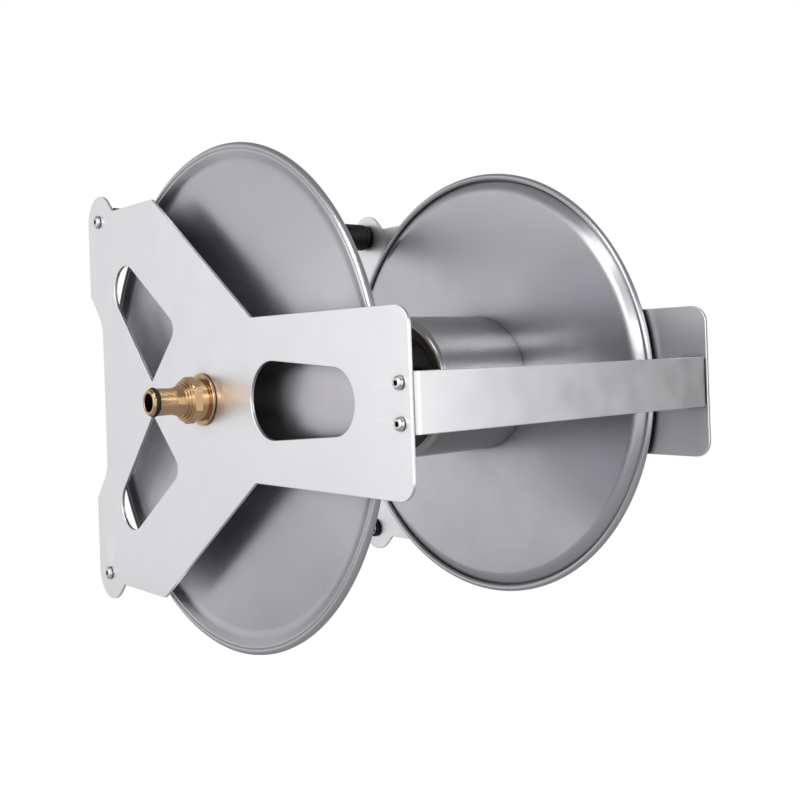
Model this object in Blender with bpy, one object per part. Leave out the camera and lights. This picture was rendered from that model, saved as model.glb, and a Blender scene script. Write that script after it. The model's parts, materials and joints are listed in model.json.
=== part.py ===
"""Wall-mounted hose reel: two sheet side plates, a turning drum with two discs, a brass inlet and a crank.

Metres, +Z up. X runs along the drum's axis with the water inlet at -X and the crank at +X. Y = 0 is the wall
that the plates' rear edges rest against, and the front bar is at -Y. Z = 0 is the height of the drum's axis.
Every mesh is drawn around the drum's axis, or around the crank grip's axis, and hangs on an empty placed there.
"""
import math

import bmesh
import bpy
from mathutils import Matrix, Vector

# Clearances
SEAT_GAP = 0.0003            # between two pieces that rest on or fit into each other
THRUST_PLAY = 0.0005         # end play of the turning drum at each bush

# Side plates, seen along the axis: "reach" values run from the drum's axis towards the wall or the front,
# and "inset" values back from the wall edge or the front edge
FRAME_WIDTH = 0.235          # over the outer faces of both plates
PLATE_THICKNESS = 0.002
WALL_REACH = 0.1505          # axis to the rear edge, which rests on the wall
FRONT_REACH = 0.1855         # axis to the front edge
ARM_HALF_HEIGHT = 0.0453     # front arm
ARM_CORNER_RADIUS = 0.010
CROTCH_REACH = 0.0537        # where the front arm meets the sloping edge, in front of the axis
CROTCH_RADIUS = 0.0035
SHOULDER_REACH = 0.0563      # top of the sloping edge, behind the axis
SHOULDER_HEIGHT = 0.1248
SHOULDER_RADIUS = 0.002
EAR_WIDTH = 0.0375           # wall edge to the notch where the ear rises from the top edge
EAR_FLANK_ANGLE = math.radians(45.0)
EAR_RADIUS = 0.018
RECESS_DEPTH = 0.0172        # of the stepped rear edge
RECESS_KINK_HEIGHT = 0.070
RECESS_ANGLE = math.radians(50.0)
RECESS_RADIUS = 0.020
SMALL_RADIUS = 0.0008        # corners that look sharp

# Openings in the side plates
SLOT_INSET = 0.0585          # front edge to the centre of the slot's narrow end
SLOT_FRONT_RADIUS = 0.0172
SLOT_SPAN = 0.054            # between the centres of its ends
SLOT_REAR_RADIUS = 0.0212
DROP_TIP_REACH = 0.0639      # drop-shaped opening: sharp tip, round end and shoulder
DROP_TIP_HEIGHT = 0.0112
DROP_END_REACH = 0.0965
DROP_END_HEIGHT = 0.0705
DROP_END_RADIUS = 0.0160
DROP_SHOULDER_REACH = 0.0420
DROP_SHOULDER_HEIGHT = 0.0427
DROP_SHOULDER_RADIUS = 0.0080

# Frame fasteners and cross pieces
EAR_BOLT_INSET = 0.0162
EAR_BOLT_HEIGHT = 0.1197
EAR_BOLT_RADIUS = 0.0025
EAR_HEAD_RADIUS = 0.0043
EAR_HEAD_HEIGHT = 0.0022
EAR_SOCKET_RADIUS = 0.0017
EAR_SCREW_DEPTH = 0.012      # of an upper ear screw in the rod
BAR_BOLT_INSET = 0.0075
BAR_BOLT_HEIGHT = 0.0094
BAR_BOLT_RADIUS = 0.0020
BAR_HEAD_RADIUS = 0.0034
BAR_HEAD_HEIGHT = 0.0022
BAR_SOCKET_RADIUS = 0.00145
BAR_NUT_RADIUS = 0.0040
BAR_NUT_THICKNESS = 0.0032
BAR_HEIGHT = 0.0292
BAR_THICKNESS = 0.003
BAR_TAB_LENGTH = 0.018
BAR_BEND_RADIUS = 0.0036
ROD_RADIUS = 0.0045
SLEEVE_RADIUS = 0.0106
SLEEVE_END_RADIUS = 0.003
BUMPER_RADIUS = 0.0073       # black bush on a lower ear bolt
BUMPER_LENGTH = 0.0025
BUMPER_CHAMFER = 0.0009
EAR_WASHER_RADIUS = 0.0052
EAR_WASHER_THICKNESS = 0.001
EAR_NUT_RADIUS = 0.0046
EAR_NUT_THICKNESS = 0.004
BOLT_END_LENGTH = 0.0015     # bolt past its nut
TAP_RUNOUT = 0.003           # tapped hole past its screw

# Button heads, as shares of their own height and radius
HEAD_EDGE_SHARE = 0.35       # straight edge, and floor of the socket
HEAD_ROUND_SHARE = 0.80
HEAD_ROUND_RADIUS_SHARE = 0.86
HEAD_TOP_RADIUS_SHARE = 0.62

# Discs
DISC_RADIUS = 0.150
DISC_THICKNESS = 0.0012
LAND_WIDTH = 0.0042          # flat of the rim, out to the rolled edge
RIM_WIDTH = 0.0068           # slope between the land and the flat web
RIM_STEP = 0.0045            # outward step of the rim
BEAD_RADIUS = 0.0022         # rolled edge
LEFT_DISC_GAP = 0.0112       # left plate to the left disc's rim
RIGHT_DISC_GAP = 0.0018

# Drum
DRUM_RADIUS = 0.048
DRUM_WALL = 0.0015
DRUM_LENGTH = 0.0777
DRUM_LIP = 0.004             # inward turned end
CAP_DEPTH = 0.016
CAP_WALL = 0.002
CAP_FACE_WIDTH = 0.0097
CAP_BEVEL_WIDTH = 0.0055     # between the face and the dish
CAP_BEVEL_DEPTH = 0.004
HUB_THICKNESS = 0.006
HUB_BOSS_RADIUS = 0.021
HUB_BOSS_LENGTH = 0.016
HUB_BOLT_CIRCLE = 0.032
HUB_BOLT_COUNT = 4
HUB_BOLT_RADIUS = 0.0025
HUB_HEAD_RADIUS = 0.00475
HUB_HEAD_HEIGHT = 0.0022
HUB_SOCKET_RADIUS = 0.0017
SET_SCREW_RADIUS = 0.003
SET_SCREW_SOCKET_RADIUS = 0.0015
SET_SCREW_SOCKET_DEPTH = 0.003

# Axle, bushes and crank shaft
AXLE_WALL = 0.0018           # around the left bush
AXLE_WATER_RADIUS = 0.006
AXLE_WATER_OVERRUN = 0.009   # of the water way past the outlet's axis
SHAFT_RADIUS = 0.0077
SHAFT_DEPTH = 0.045          # of the crank shaft in the axle tube
BUSH_WALL = 0.0026
BUSH_FLANGE_RADIUS = 0.0145
BUSH_FLANGE_THICKNESS = 0.0022
LEFT_BUSH_LENGTH = 0.019
RIGHT_BUSH_STANDOUT = 0.0015
CROSS_PIN_RADIUS = 0.002
CROSS_PIN_DISTANCE = 0.012   # from the inner end of the crank shaft

# Brass inlet, lengths from the left plate's outer face
PLATE_BORE_RADIUS = 0.0107
INLET_FLANGE_RADIUS = 0.0152
INLET_FLANGE_THICKNESS = 0.0018
INLET_BARREL_RADIUS = 0.0123     # round part between the flange and the hexagon
INLET_BARREL_END = 0.0072
INLET_HEX_RADIUS = 0.0143    # corner radius before the corners are turned off
INLET_TURNED_RADIUS = 0.0136
INLET_HEX_END = 0.0120
INLET_STEP_COUNT = 3         # turned steps in front of the hexagon
INLET_STEP_LENGTH = 0.0012
INLET_STEP_RADIUS = 0.0121   # of the widest step
INLET_STEP_DROP = 0.0011     # in radius from one step to the next
NOZZLE_ROOT_RADIUS = 0.0090
NOZZLE_TAPER_LENGTH = 0.0050
NOZZLE_RADIUS = 0.0078
NOZZLE_GROOVE_RADIUS = 0.0062
NOZZLE_GROOVE_WIDTH = 0.0026
NOZZLE_GROOVE_INSET = 0.0016     # from the nozzle's end
NOZZLE_LENGTH = 0.0350
NOZZLE_CHAMFER = 0.0011
NOZZLE_BORE_RADIUS = 0.0052
LOCKNUT_RADIUS = 0.0150
LOCKNUT_THICKNESS = 0.005
SPIGOT_RADIUS = 0.0080
SPIGOT_BORE_RADIUS = 0.0043
SEAL_BORE_CLEARANCE = 0.001  # spigot to the bore that the seals fill
SEAL_GROOVE_DEPTH = 0.0017
SEAL_GROOVE_WIDTH = 0.0028
SEAL_BUSH_DISTANCE = 0.0049  # left bush to the outer groove
SEAL_SPACING = 0.007
SEAL_END_DISTANCE = 0.004    # inner groove to the spigot's end

# Outlet elbow
ELBOW_RADIUS = 0.0078
ELBOW_NECK_RADIUS = 0.0055
ELBOW_NECK_INSERT = 0.0045
ELBOW_BORE_RADIUS = 0.0038
ELBOW_OUTLET_BORE_RADIUS = 0.0055
ELBOW_KNUCKLE_RADIUS = 0.0088
ELBOW_RISE = 0.026           # axle to the elbow's outlet axis
ELBOW_THREAD_RADIUS = 0.0105
ELBOW_THREAD_START = 0.013
ELBOW_LENGTH = 0.030

# Crank
CRANK_STANDOFF = 0.0065      # right plate's outer face to the arm
CRANK_RADIUS = 0.090
CRANK_THICKNESS = 0.005
CRANK_HUB_RADIUS = 0.014
CRANK_END_RADIUS = 0.010
CRANK_SQUARE = 0.010
CRANK_WASHER_RADIUS = 0.0095
CRANK_WASHER_THICKNESS = 0.0015
CRANK_SCREW_RADIUS = 0.003
CRANK_SCREW_LENGTH = 0.014
CRANK_HEAD_RADIUS = 0.0055
CRANK_HEAD_HEIGHT = 0.0033
CRANK_SOCKET_RADIUS = 0.0022
GRIP_PIN_RADIUS = 0.004
GRIP_PIN_HEAD_RADIUS = 0.0075
GRIP_PIN_HEAD_HEIGHT = 0.003
GRIP_PIN_SOCKET_RADIUS = 0.0026
GRIP_LENGTH = 0.072
GRIP_END_RADIUS = 0.0115
GRIP_BELLY_RADIUS = 0.0140
GRIP_EDGE = 0.002
GRIP_NUT_RADIUS = 0.0075
GRIP_NUT_THICKNESS = 0.004

# Places and radii worked out from the sizes above
NOTCH_REACH = WALL_REACH - EAR_WIDTH
EAR_BOLT_REACH = WALL_REACH - EAR_BOLT_INSET
BAR_BOLT_REACH = FRONT_REACH - BAR_BOLT_INSET
SLOT_FRONT_REACH = FRONT_REACH - SLOT_INSET
SLOT_REAR_REACH = SLOT_FRONT_REACH - SLOT_SPAN
DISC_LAND_RADIUS = DISC_RADIUS - LAND_WIDTH
DISC_FLAT_RADIUS = DISC_LAND_RADIUS - RIM_WIDTH
DRUM_INNER_RADIUS = DRUM_RADIUS - DRUM_WALL
CAP_FACE_RADIUS = DRUM_INNER_RADIUS - SEAT_GAP - CAP_FACE_WIDTH
CAP_DISH_RADIUS = CAP_FACE_RADIUS - CAP_BEVEL_WIDTH
LEFT_BUSH_BORE = SPIGOT_RADIUS + SEAT_GAP
AXLE_BUSH_BORE = LEFT_BUSH_BORE + BUSH_WALL + SEAT_GAP
AXLE_RADIUS = AXLE_BUSH_BORE + AXLE_WALL
SEAL_BORE_RADIUS = SPIGOT_RADIUS + SEAL_BORE_CLEARANCE
SEAL_GROOVE_RADIUS = SPIGOT_RADIUS - SEAL_GROOVE_DEPTH
INLET_STEPS_END = INLET_HEX_END + INLET_STEP_COUNT * INLET_STEP_LENGTH
NOZZLE_START = INLET_STEPS_END + NOZZLE_TAPER_LENGTH
NOZZLE_GROOVE_END = NOZZLE_LENGTH - NOZZLE_GROOVE_INSET
NOZZLE_GROOVE_START = NOZZLE_GROOVE_END - NOZZLE_GROOVE_WIDTH

# Places along the axis
PLATE_OUTER = FRAME_WIDTH / 2
PLATE_INNER = PLATE_OUTER - PLATE_THICKNESS
LEFT_WEB = PLATE_INNER - LEFT_DISC_GAP - RIM_STEP      # outer face of the left disc's flat web, towards -X
RIGHT_WEB = PLATE_INNER - RIGHT_DISC_GAP - RIM_STEP    # outer face of the right disc's flat web, towards +X
LOCKNUT_FACE = PLATE_INNER - SEAT_GAP - LOCKNUT_THICKNESS
AXLE_LEFT_END = LOCKNUT_FACE - THRUST_PLAY - BUSH_FLANGE_THICKNESS - SEAT_GAP
AXLE_RIGHT_END = PLATE_INNER - SEAT_GAP - BUSH_FLANGE_THICKNESS - THRUST_PLAY
RIGHT_DRUM_END = RIGHT_WEB - DISC_THICKNESS - SEAT_GAP - DRUM_LENGTH
LEFT_DRUM_END = LEFT_WEB - DISC_THICKNESS - SEAT_GAP - DRUM_LENGTH
OUTLET_X = (RIGHT_DRUM_END - LEFT_DRUM_END) / 2
OUTER_GROOVE = AXLE_LEFT_END - LEFT_BUSH_LENGTH - SEAL_BUSH_DISTANCE - SEAL_GROOVE_WIDTH
INNER_GROOVE = OUTER_GROOVE - SEAL_SPACING
SPIGOT_END = INNER_GROOVE - SEAL_END_DISTANCE
CRANK_INNER = PLATE_OUTER + CRANK_STANDOFF
CRANK_OUTER = CRANK_INNER + CRANK_THICKNESS
GRIP_START = CRANK_OUTER + SEAT_GAP
GRIP_END = GRIP_START + GRIP_LENGTH

# Facets
DISC_STEPS = 40
DRUM_STEPS = 32
ROUND_STEPS = 20
SMALL_STEPS = 8
SEAL_STEPS = 6
ARC_STEP = math.radians(18.0)
BEAD_STEP = math.radians(60.0)

SIDES = (("left", -1), ("right", 1))

ALUMINIUM = ((0.72, 0.72, 0.73), 0.9, 0.38)
STEEL = ((0.45, 0.45, 0.46), 1.0, 0.35)
BRIGHT_STEEL = ((0.62, 0.62, 0.63), 1.0, 0.22)
BRASS = ((0.72, 0.47, 0.20), 1.0, 0.25)
BLACK_RUBBER = ((0.015, 0.015, 0.016), 0.0, 0.65)
BLACK_PLASTIC = ((0.02, 0.02, 0.022), 0.0, 0.45)
WHITE_PLASTIC = ((0.75, 0.74, 0.70), 0.0, 0.45)


def clear_scene():
    for item in list(bpy.data.objects):
        bpy.data.objects.remove(item, do_unlink=True)


def make_empty(name, location, parent=None):
    empty = bpy.data.objects.new(name, None)
    empty.location = location
    empty.parent = parent
    bpy.context.collection.objects.link(empty)
    return empty


def make_finish(name, finish):
    colour, metallic, roughness = finish
    material = bpy.data.materials.new(name + "_finish")
    material.use_nodes = True
    shader = material.node_tree.nodes["Principled BSDF"]
    shader.inputs["Base Color"].default_value = (*colour, 1.0)
    shader.inputs["Metallic"].default_value = metallic
    shader.inputs["Roughness"].default_value = roughness
    return material


def make_part(name, bm, finish, parent):
    """Turn a bmesh into a named object that hangs on its parent empty."""
    bmesh.ops.recalc_face_normals(bm, faces=bm.faces)
    mesh = bpy.data.meshes.new(name)
    bm.to_mesh(mesh)
    bm.free()
    mesh.shade_smooth()
    mesh.set_sharp_from_angle(angle=math.radians(32.0))
    part = bpy.data.objects.new(name, mesh)
    part.parent = parent
    part.data.materials.append(make_finish(name, finish))
    bpy.context.collection.objects.link(part)
    return part


def turned(profile, steps):
    """Spin a closed outline of (x, radius) points around the X axis into a closed body."""
    bm = bmesh.new()
    points = [bm.verts.new((x, 0.0, radius)) for x, radius in profile]
    edges = [bm.edges.new((points[i - 1], points[i])) for i in range(len(points))
             if max(profile[i - 1][1], profile[i][1]) > 0.0]
    bmesh.ops.spin(bm, geom=points + edges, cent=(0, 0, 0), axis=(1, 0, 0), dvec=(0, 0, 0),
                   angle=2 * math.pi, steps=steps, use_merge=True, use_duplicate=False)
    bmesh.ops.remove_doubles(bm, verts=bm.verts, dist=1e-6)
    bmesh.ops.dissolve_degenerate(bm, edges=bm.edges, dist=1e-7)
    bmesh.ops.recalc_face_normals(bm, faces=bm.faces)
    return bm


def ring(x_start, x_end, inner, outer, steps):
    return turned([(x_start, inner), (x_start, outer), (x_end, outer), (x_end, inner)], steps)


def rod(x_start, x_end, radius, steps):
    return turned([(x_start, 0.0), (x_start, radius), (x_end, radius), (x_end, 0.0)], steps)


def arc(centre, radius, start, end, step=ARC_STEP):
    """Points on an arc from one angle to another, no further apart than the step."""
    count = max(1, math.ceil(abs(end - start) / step - 1e-6))
    angles = [start + (end - start) * i / count for i in range(count + 1)]
    return [(centre[0] + radius * math.cos(a), centre[1] + radius * math.sin(a)) for a in angles]


def rounded(corners):
    """Closed outline through (y, z, radius) corners, each one replaced by a tangent arc."""
    points = []
    for i, (y, z, radius) in enumerate(corners):
        corner = Vector((y, z))
        before = (Vector(corners[i - 1][:2]) - corner).normalized()
        after = (Vector(corners[(i + 1) % len(corners)][:2]) - corner).normalized()
        half = before.angle(after) / 2
        centre = corner + (before + after).normalized() * radius / math.sin(half)
        first = corner + before * radius / math.tan(half) - centre
        last = corner + after * radius / math.tan(half) - centre
        start = math.atan2(first.y, first.x)
        turn = math.remainder(math.atan2(last.y, last.x) - start, 2 * math.pi)
        points += arc(centre, radius, start, start + turn)
    return points


def wrapped(circles):
    """Closed outline pulled tight around (y, z, radius) circles given anticlockwise."""
    normals = []
    for i, (y, z, radius) in enumerate(circles):
        next_y, next_z, next_radius = circles[(i + 1) % len(circles)]
        distance = math.hypot(next_y - y, next_z - z)
        heading = math.atan2(next_z - z, next_y - y)
        normals.append(heading - math.acos((radius - next_radius) / distance))
    points = []
    for i, (y, z, radius) in enumerate(circles):
        turn = (normals[i] - normals[i - 1]) % (2 * math.pi)
        points += arc((y, z), radius, normals[i - 1], normals[i - 1] + turn)
    return points


def circle(y, z, radius, steps):
    return [(y + radius * math.cos(2 * math.pi * i / steps), z + radius * math.sin(2 * math.pi * i / steps))
            for i in range(steps)]


def sheet(x_start, thickness, outlines):
    """Flat sheet at right angles to the X axis: the first outline is the edge and the others are holes."""
    bm = bmesh.new()
    edges = []
    for outline in outlines:
        points = [bm.verts.new((x_start, y, z)) for y, z in outline]
        edges += [bm.edges.new((points[i - 1], points[i])) for i in range(len(points))]
    filled = bmesh.ops.triangle_fill(bm, edges=edges, use_beauty=True, normal=(1, 0, 0))
    faces = [item for item in filled["geom"] if isinstance(item, bmesh.types.BMFace)]
    grown = bmesh.ops.extrude_face_region(bm, geom=faces)
    moved = [item for item in grown["geom"] if isinstance(item, bmesh.types.BMVert)]
    bmesh.ops.translate(bm, verts=moved, vec=(thickness, 0, 0))
    bm.faces.ensure_lookup_table()
    bmesh.ops.recalc_face_normals(bm, faces=bm.faces)
    return bm


def carve(bm, cutters, operation="DIFFERENCE"):
    """Cut the cutters out of a body, or unite them with it, and give the new body."""
    mesh = bpy.data.meshes.new("body")
    bm.to_mesh(mesh)
    bm.free()
    body = bpy.data.objects.new("body", mesh)
    bpy.context.collection.objects.link(body)
    helpers = []
    for cutter in cutters:
        bmesh.ops.recalc_face_normals(cutter, faces=cutter.faces)
        cutter_mesh = bpy.data.meshes.new("cutter")
        cutter.to_mesh(cutter_mesh)
        cutter.free()
        helper = bpy.data.objects.new("cutter", cutter_mesh)
        bpy.context.collection.objects.link(helper)
        modifier = body.modifiers.new("carve", "BOOLEAN")
        modifier.operation = operation
        modifier.solver = "EXACT"
        modifier.object = helper
        helpers.append(helper)
    bpy.context.view_layer.update()
    result = bmesh.new()
    result.from_object(body, bpy.context.evaluated_depsgraph_get())
    for item in [body] + helpers:
        bpy.data.objects.remove(item, do_unlink=True)
    bmesh.ops.dissolve_degenerate(result, edges=result.edges, dist=1e-7)
    return result


def placed(bm, matrix):
    bmesh.ops.transform(bm, matrix=matrix, verts=bm.verts)
    return bm


def button_screw(shank_radius, shank_length, head_radius, head_height, socket_radius, side):
    """Button-head screw along X: seat at x = 0, head towards side, hexagon socket in the head."""
    top = side * head_height
    body = turned([(-side * shank_length, 0.0), (-side * shank_length, shank_radius), (0.0, shank_radius),
                   (0.0, head_radius), (HEAD_EDGE_SHARE * top, head_radius),
                   (HEAD_ROUND_SHARE * top, HEAD_ROUND_RADIUS_SHARE * head_radius),
                   (top, HEAD_TOP_RADIUS_SHARE * head_radius), (top, 0.0)], SMALL_STEPS)
    socket = rod(HEAD_EDGE_SHARE * top, 2 * top, socket_radius, 6)
    return carve(body, [socket])


def hex_nut(x_start, x_end, corner_radius, bore_radius, steps=SMALL_STEPS):
    """Hexagon nut along X with its bore."""
    body = rod(x_start, x_end, corner_radius, 6)
    overshoot = x_end - x_start
    return carve(body, [rod(x_start - overshoot, x_end + overshoot, bore_radius, steps)])


def plate_outline():
    """Outer edge of a side plate, anticlockwise seen from +X: y grows towards the wall."""
    ear_apex = SHOULDER_HEIGHT + (WALL_REACH - NOTCH_REACH) * math.tan(EAR_FLANK_ANGLE)
    recess_reach = WALL_REACH - RECESS_DEPTH
    recess_height = RECESS_KINK_HEIGHT - RECESS_DEPTH * math.tan(RECESS_ANGLE)
    upper = [
        (recess_reach, recess_height, RECESS_RADIUS),
        (WALL_REACH, RECESS_KINK_HEIGHT, SMALL_RADIUS),
        (WALL_REACH, ear_apex, EAR_RADIUS),
        (NOTCH_REACH, SHOULDER_HEIGHT, SMALL_RADIUS),
        (SHOULDER_REACH, SHOULDER_HEIGHT, SHOULDER_RADIUS),
        (-CROTCH_REACH, ARM_HALF_HEIGHT, CROTCH_RADIUS),
        (-FRONT_REACH, ARM_HALF_HEIGHT, ARM_CORNER_RADIUS),
    ]
    lower = [(y, -z, radius) for y, z, radius in reversed(upper)]
    return rounded(upper + lower)


def plate_openings():
    """Slot, drop-shaped openings and screw holes of a side plate."""
    slot = wrapped([(-SLOT_FRONT_REACH, 0.0, SLOT_FRONT_RADIUS), (-SLOT_REAR_REACH, 0.0, SLOT_REAR_RADIUS)])
    drop = wrapped([(DROP_TIP_REACH, DROP_TIP_HEIGHT, SMALL_RADIUS),
                    (DROP_END_REACH, DROP_END_HEIGHT, DROP_END_RADIUS),
                    (DROP_SHOULDER_REACH, DROP_SHOULDER_HEIGHT, DROP_SHOULDER_RADIUS)])
    openings = [slot, drop, [(y, -z) for y, z in drop]]
    openings.append(circle(0.0, 0.0, PLATE_BORE_RADIUS, ROUND_STEPS))
    for side in (-1, 1):
        openings.append(circle(EAR_BOLT_REACH, side * EAR_BOLT_HEIGHT, EAR_BOLT_RADIUS + SEAT_GAP, SMALL_STEPS))
        openings.append(circle(-BAR_BOLT_REACH, side * BAR_BOLT_HEIGHT, BAR_BOLT_RADIUS + SEAT_GAP, SMALL_STEPS))
    return openings


def add_side_plates(frame):
    for name, x_start in (("left_side_plate", -PLATE_OUTER), ("right_side_plate", PLATE_INNER)):
        make_part(name, sheet(x_start, PLATE_THICKNESS, [plate_outline()] + plate_openings()), ALUMINIUM, frame)


def add_front_bar(frame):
    """Flat bar whose ends are bent back behind the plates, with its screws and nuts."""
    tab_face = PLATE_INNER - SEAT_GAP
    tab_end = -FRONT_REACH + BAR_TAB_LENGTH
    inner_radius = BAR_BEND_RADIUS - BAR_THICKNESS
    outer = [(tab_face, tab_end), *arc((tab_face - BAR_BEND_RADIUS, -FRONT_REACH + BAR_BEND_RADIUS),
                                       BAR_BEND_RADIUS, 0.0, -math.pi / 2)]
    inner = [*arc((tab_face - BAR_BEND_RADIUS, -FRONT_REACH + BAR_BEND_RADIUS),
                  inner_radius, -math.pi / 2, 0.0), (tab_face - BAR_THICKNESS, tab_end)]
    outline = outer + [(-x, y) for x, y in reversed(outer)] + [(-x, y) for x, y in reversed(inner)] + inner
    bm = bmesh.new()
    floor = bm.faces.new([bm.verts.new((x, y, -BAR_HEIGHT / 2)) for x, y in outline])
    grown = bmesh.ops.extrude_face_region(bm, geom=[floor])
    top = [item for item in grown["geom"] if isinstance(item, bmesh.types.BMVert)]
    bmesh.ops.translate(bm, verts=top, vec=(0, 0, BAR_HEIGHT))
    bmesh.ops.triangulate(bm, faces=[face for face in bm.faces if len(face.verts) > 4])
    bmesh.ops.recalc_face_normals(bm, faces=bm.faces)
    drills = []
    nut_face = tab_face - BAR_THICKNESS - SEAT_GAP
    screw_length = PLATE_OUTER + SEAT_GAP - (nut_face - BAR_NUT_THICKNESS) + BOLT_END_LENGTH
    for side_name, side in SIDES:
        for level_name, level in (("lower", -1), ("upper", 1)):
            place = Matrix.Translation((0.0, -BAR_BOLT_REACH, level * BAR_BOLT_HEIGHT))
            drills.append(placed(rod(side * (tab_face - 2 * BAR_THICKNESS), side * PLATE_OUTER,
                                     BAR_BOLT_RADIUS + SEAT_GAP, SMALL_STEPS), place))
            screw = button_screw(BAR_BOLT_RADIUS, screw_length, BAR_HEAD_RADIUS, BAR_HEAD_HEIGHT,
                                 BAR_SOCKET_RADIUS, side)
            seat = Matrix.Translation((side * (PLATE_OUTER + SEAT_GAP), 0, 0))
            make_part(f"front_bar_screw_{side_name}_{level_name}", placed(screw, place @ seat),
                      BRIGHT_STEEL, frame)
            nut = hex_nut(*sorted((side * (nut_face - BAR_NUT_THICKNESS), side * nut_face)),
                          BAR_NUT_RADIUS, BAR_BOLT_RADIUS + SEAT_GAP)
            make_part(f"front_bar_nut_{side_name}_{level_name}", placed(nut, place), BRIGHT_STEEL, frame)
    make_part("front_bar", carve(bm, drills), ALUMINIUM, frame)


def add_upper_rod(frame):
    """Rod with its ribbed sleeve between the upper ears, and the two screws that hold it."""
    place = Matrix.Translation((0.0, EAR_BOLT_REACH, EAR_BOLT_HEIGHT))
    rod_end = PLATE_INNER - SEAT_GAP
    tapped_radius = EAR_BOLT_RADIUS + SEAT_GAP
    tapped_end = rod_end - EAR_SCREW_DEPTH - TAP_RUNOUT
    body = turned([(-rod_end, tapped_radius), (-rod_end, ROD_RADIUS), (rod_end, ROD_RADIUS),
                   (rod_end, tapped_radius), (tapped_end, tapped_radius), (tapped_end, 0.0),
                   (-tapped_end, 0.0), (-tapped_end, tapped_radius)], SMALL_STEPS)
    make_part("upper_rod", placed(body, place), BRIGHT_STEEL, frame)
    bore = ROD_RADIUS + SEAT_GAP
    rim = SLEEVE_RADIUS - SLEEVE_END_RADIUS
    right_end = [(rod_end - SLEEVE_END_RADIUS + x, rim + r)
                 for x, r in arc((0.0, 0.0), SLEEVE_END_RADIUS, math.pi / 2, 0.0)]
    left_end = [(-x, r) for x, r in reversed(right_end)]
    make_part("upper_rod_sleeve", placed(turned([(-rod_end, bore), *left_end, *right_end, (rod_end, bore)],
                                                ROUND_STEPS), place), BLACK_RUBBER, frame)
    for side_name, side in SIDES:
        screw = button_screw(EAR_BOLT_RADIUS, PLATE_THICKNESS + 2 * SEAT_GAP + EAR_SCREW_DEPTH, EAR_HEAD_RADIUS,
                             EAR_HEAD_HEIGHT, EAR_SOCKET_RADIUS, side)
        seat = Matrix.Translation((side * (PLATE_OUTER + SEAT_GAP), 0, 0))
        make_part(f"upper_rod_screw_{side_name}", placed(screw, place @ seat), BRIGHT_STEEL, frame)


def add_lower_ears(frame):
    """Bolt, black bush, washer and nut at each lower ear."""
    bush_end = PLATE_INNER - SEAT_GAP - BUMPER_LENGTH
    washer_end = bush_end - SEAT_GAP - EAR_WASHER_THICKNESS
    nut_end = washer_end - SEAT_GAP - EAR_NUT_THICKNESS
    bore = EAR_BOLT_RADIUS + SEAT_GAP
    place = Matrix.Translation((0.0, EAR_BOLT_REACH, -EAR_BOLT_HEIGHT))
    for side_name, side in SIDES:
        bolt = button_screw(EAR_BOLT_RADIUS, PLATE_OUTER + SEAT_GAP - nut_end + BOLT_END_LENGTH, EAR_HEAD_RADIUS,
                            EAR_HEAD_HEIGHT, EAR_SOCKET_RADIUS, side)
        seat = Matrix.Translation((side * (PLATE_OUTER + SEAT_GAP), 0, 0))
        make_part(f"lower_ear_bolt_{side_name}", placed(bolt, place @ seat), BRIGHT_STEEL, frame)
        bush = turned([(side * x, radius) for x, radius in (
            (bush_end, bore), (bush_end, BUMPER_RADIUS - BUMPER_CHAMFER),
            (bush_end + BUMPER_CHAMFER, BUMPER_RADIUS), (PLATE_INNER - SEAT_GAP, BUMPER_RADIUS),
            (PLATE_INNER - SEAT_GAP, bore))], ROUND_STEPS)
        make_part(f"lower_ear_bush_{side_name}", placed(bush, place), BLACK_RUBBER, frame)
        washer = ring(side * washer_end, side * (bush_end - SEAT_GAP), bore, EAR_WASHER_RADIUS, ROUND_STEPS)
        make_part(f"lower_ear_washer_{side_name}", placed(washer, place), BRIGHT_STEEL, frame)
        nut = hex_nut(*sorted((side * nut_end, side * (washer_end - SEAT_GAP))), EAR_NUT_RADIUS, bore)
        make_part(f"lower_ear_nut_{side_name}", placed(nut, place), BRIGHT_STEEL, frame)


def inlet_x(distance):
    """Place along X of a point of the inlet, measured outward from the left plate's outer face."""
    return -(PLATE_OUTER + distance)


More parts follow.
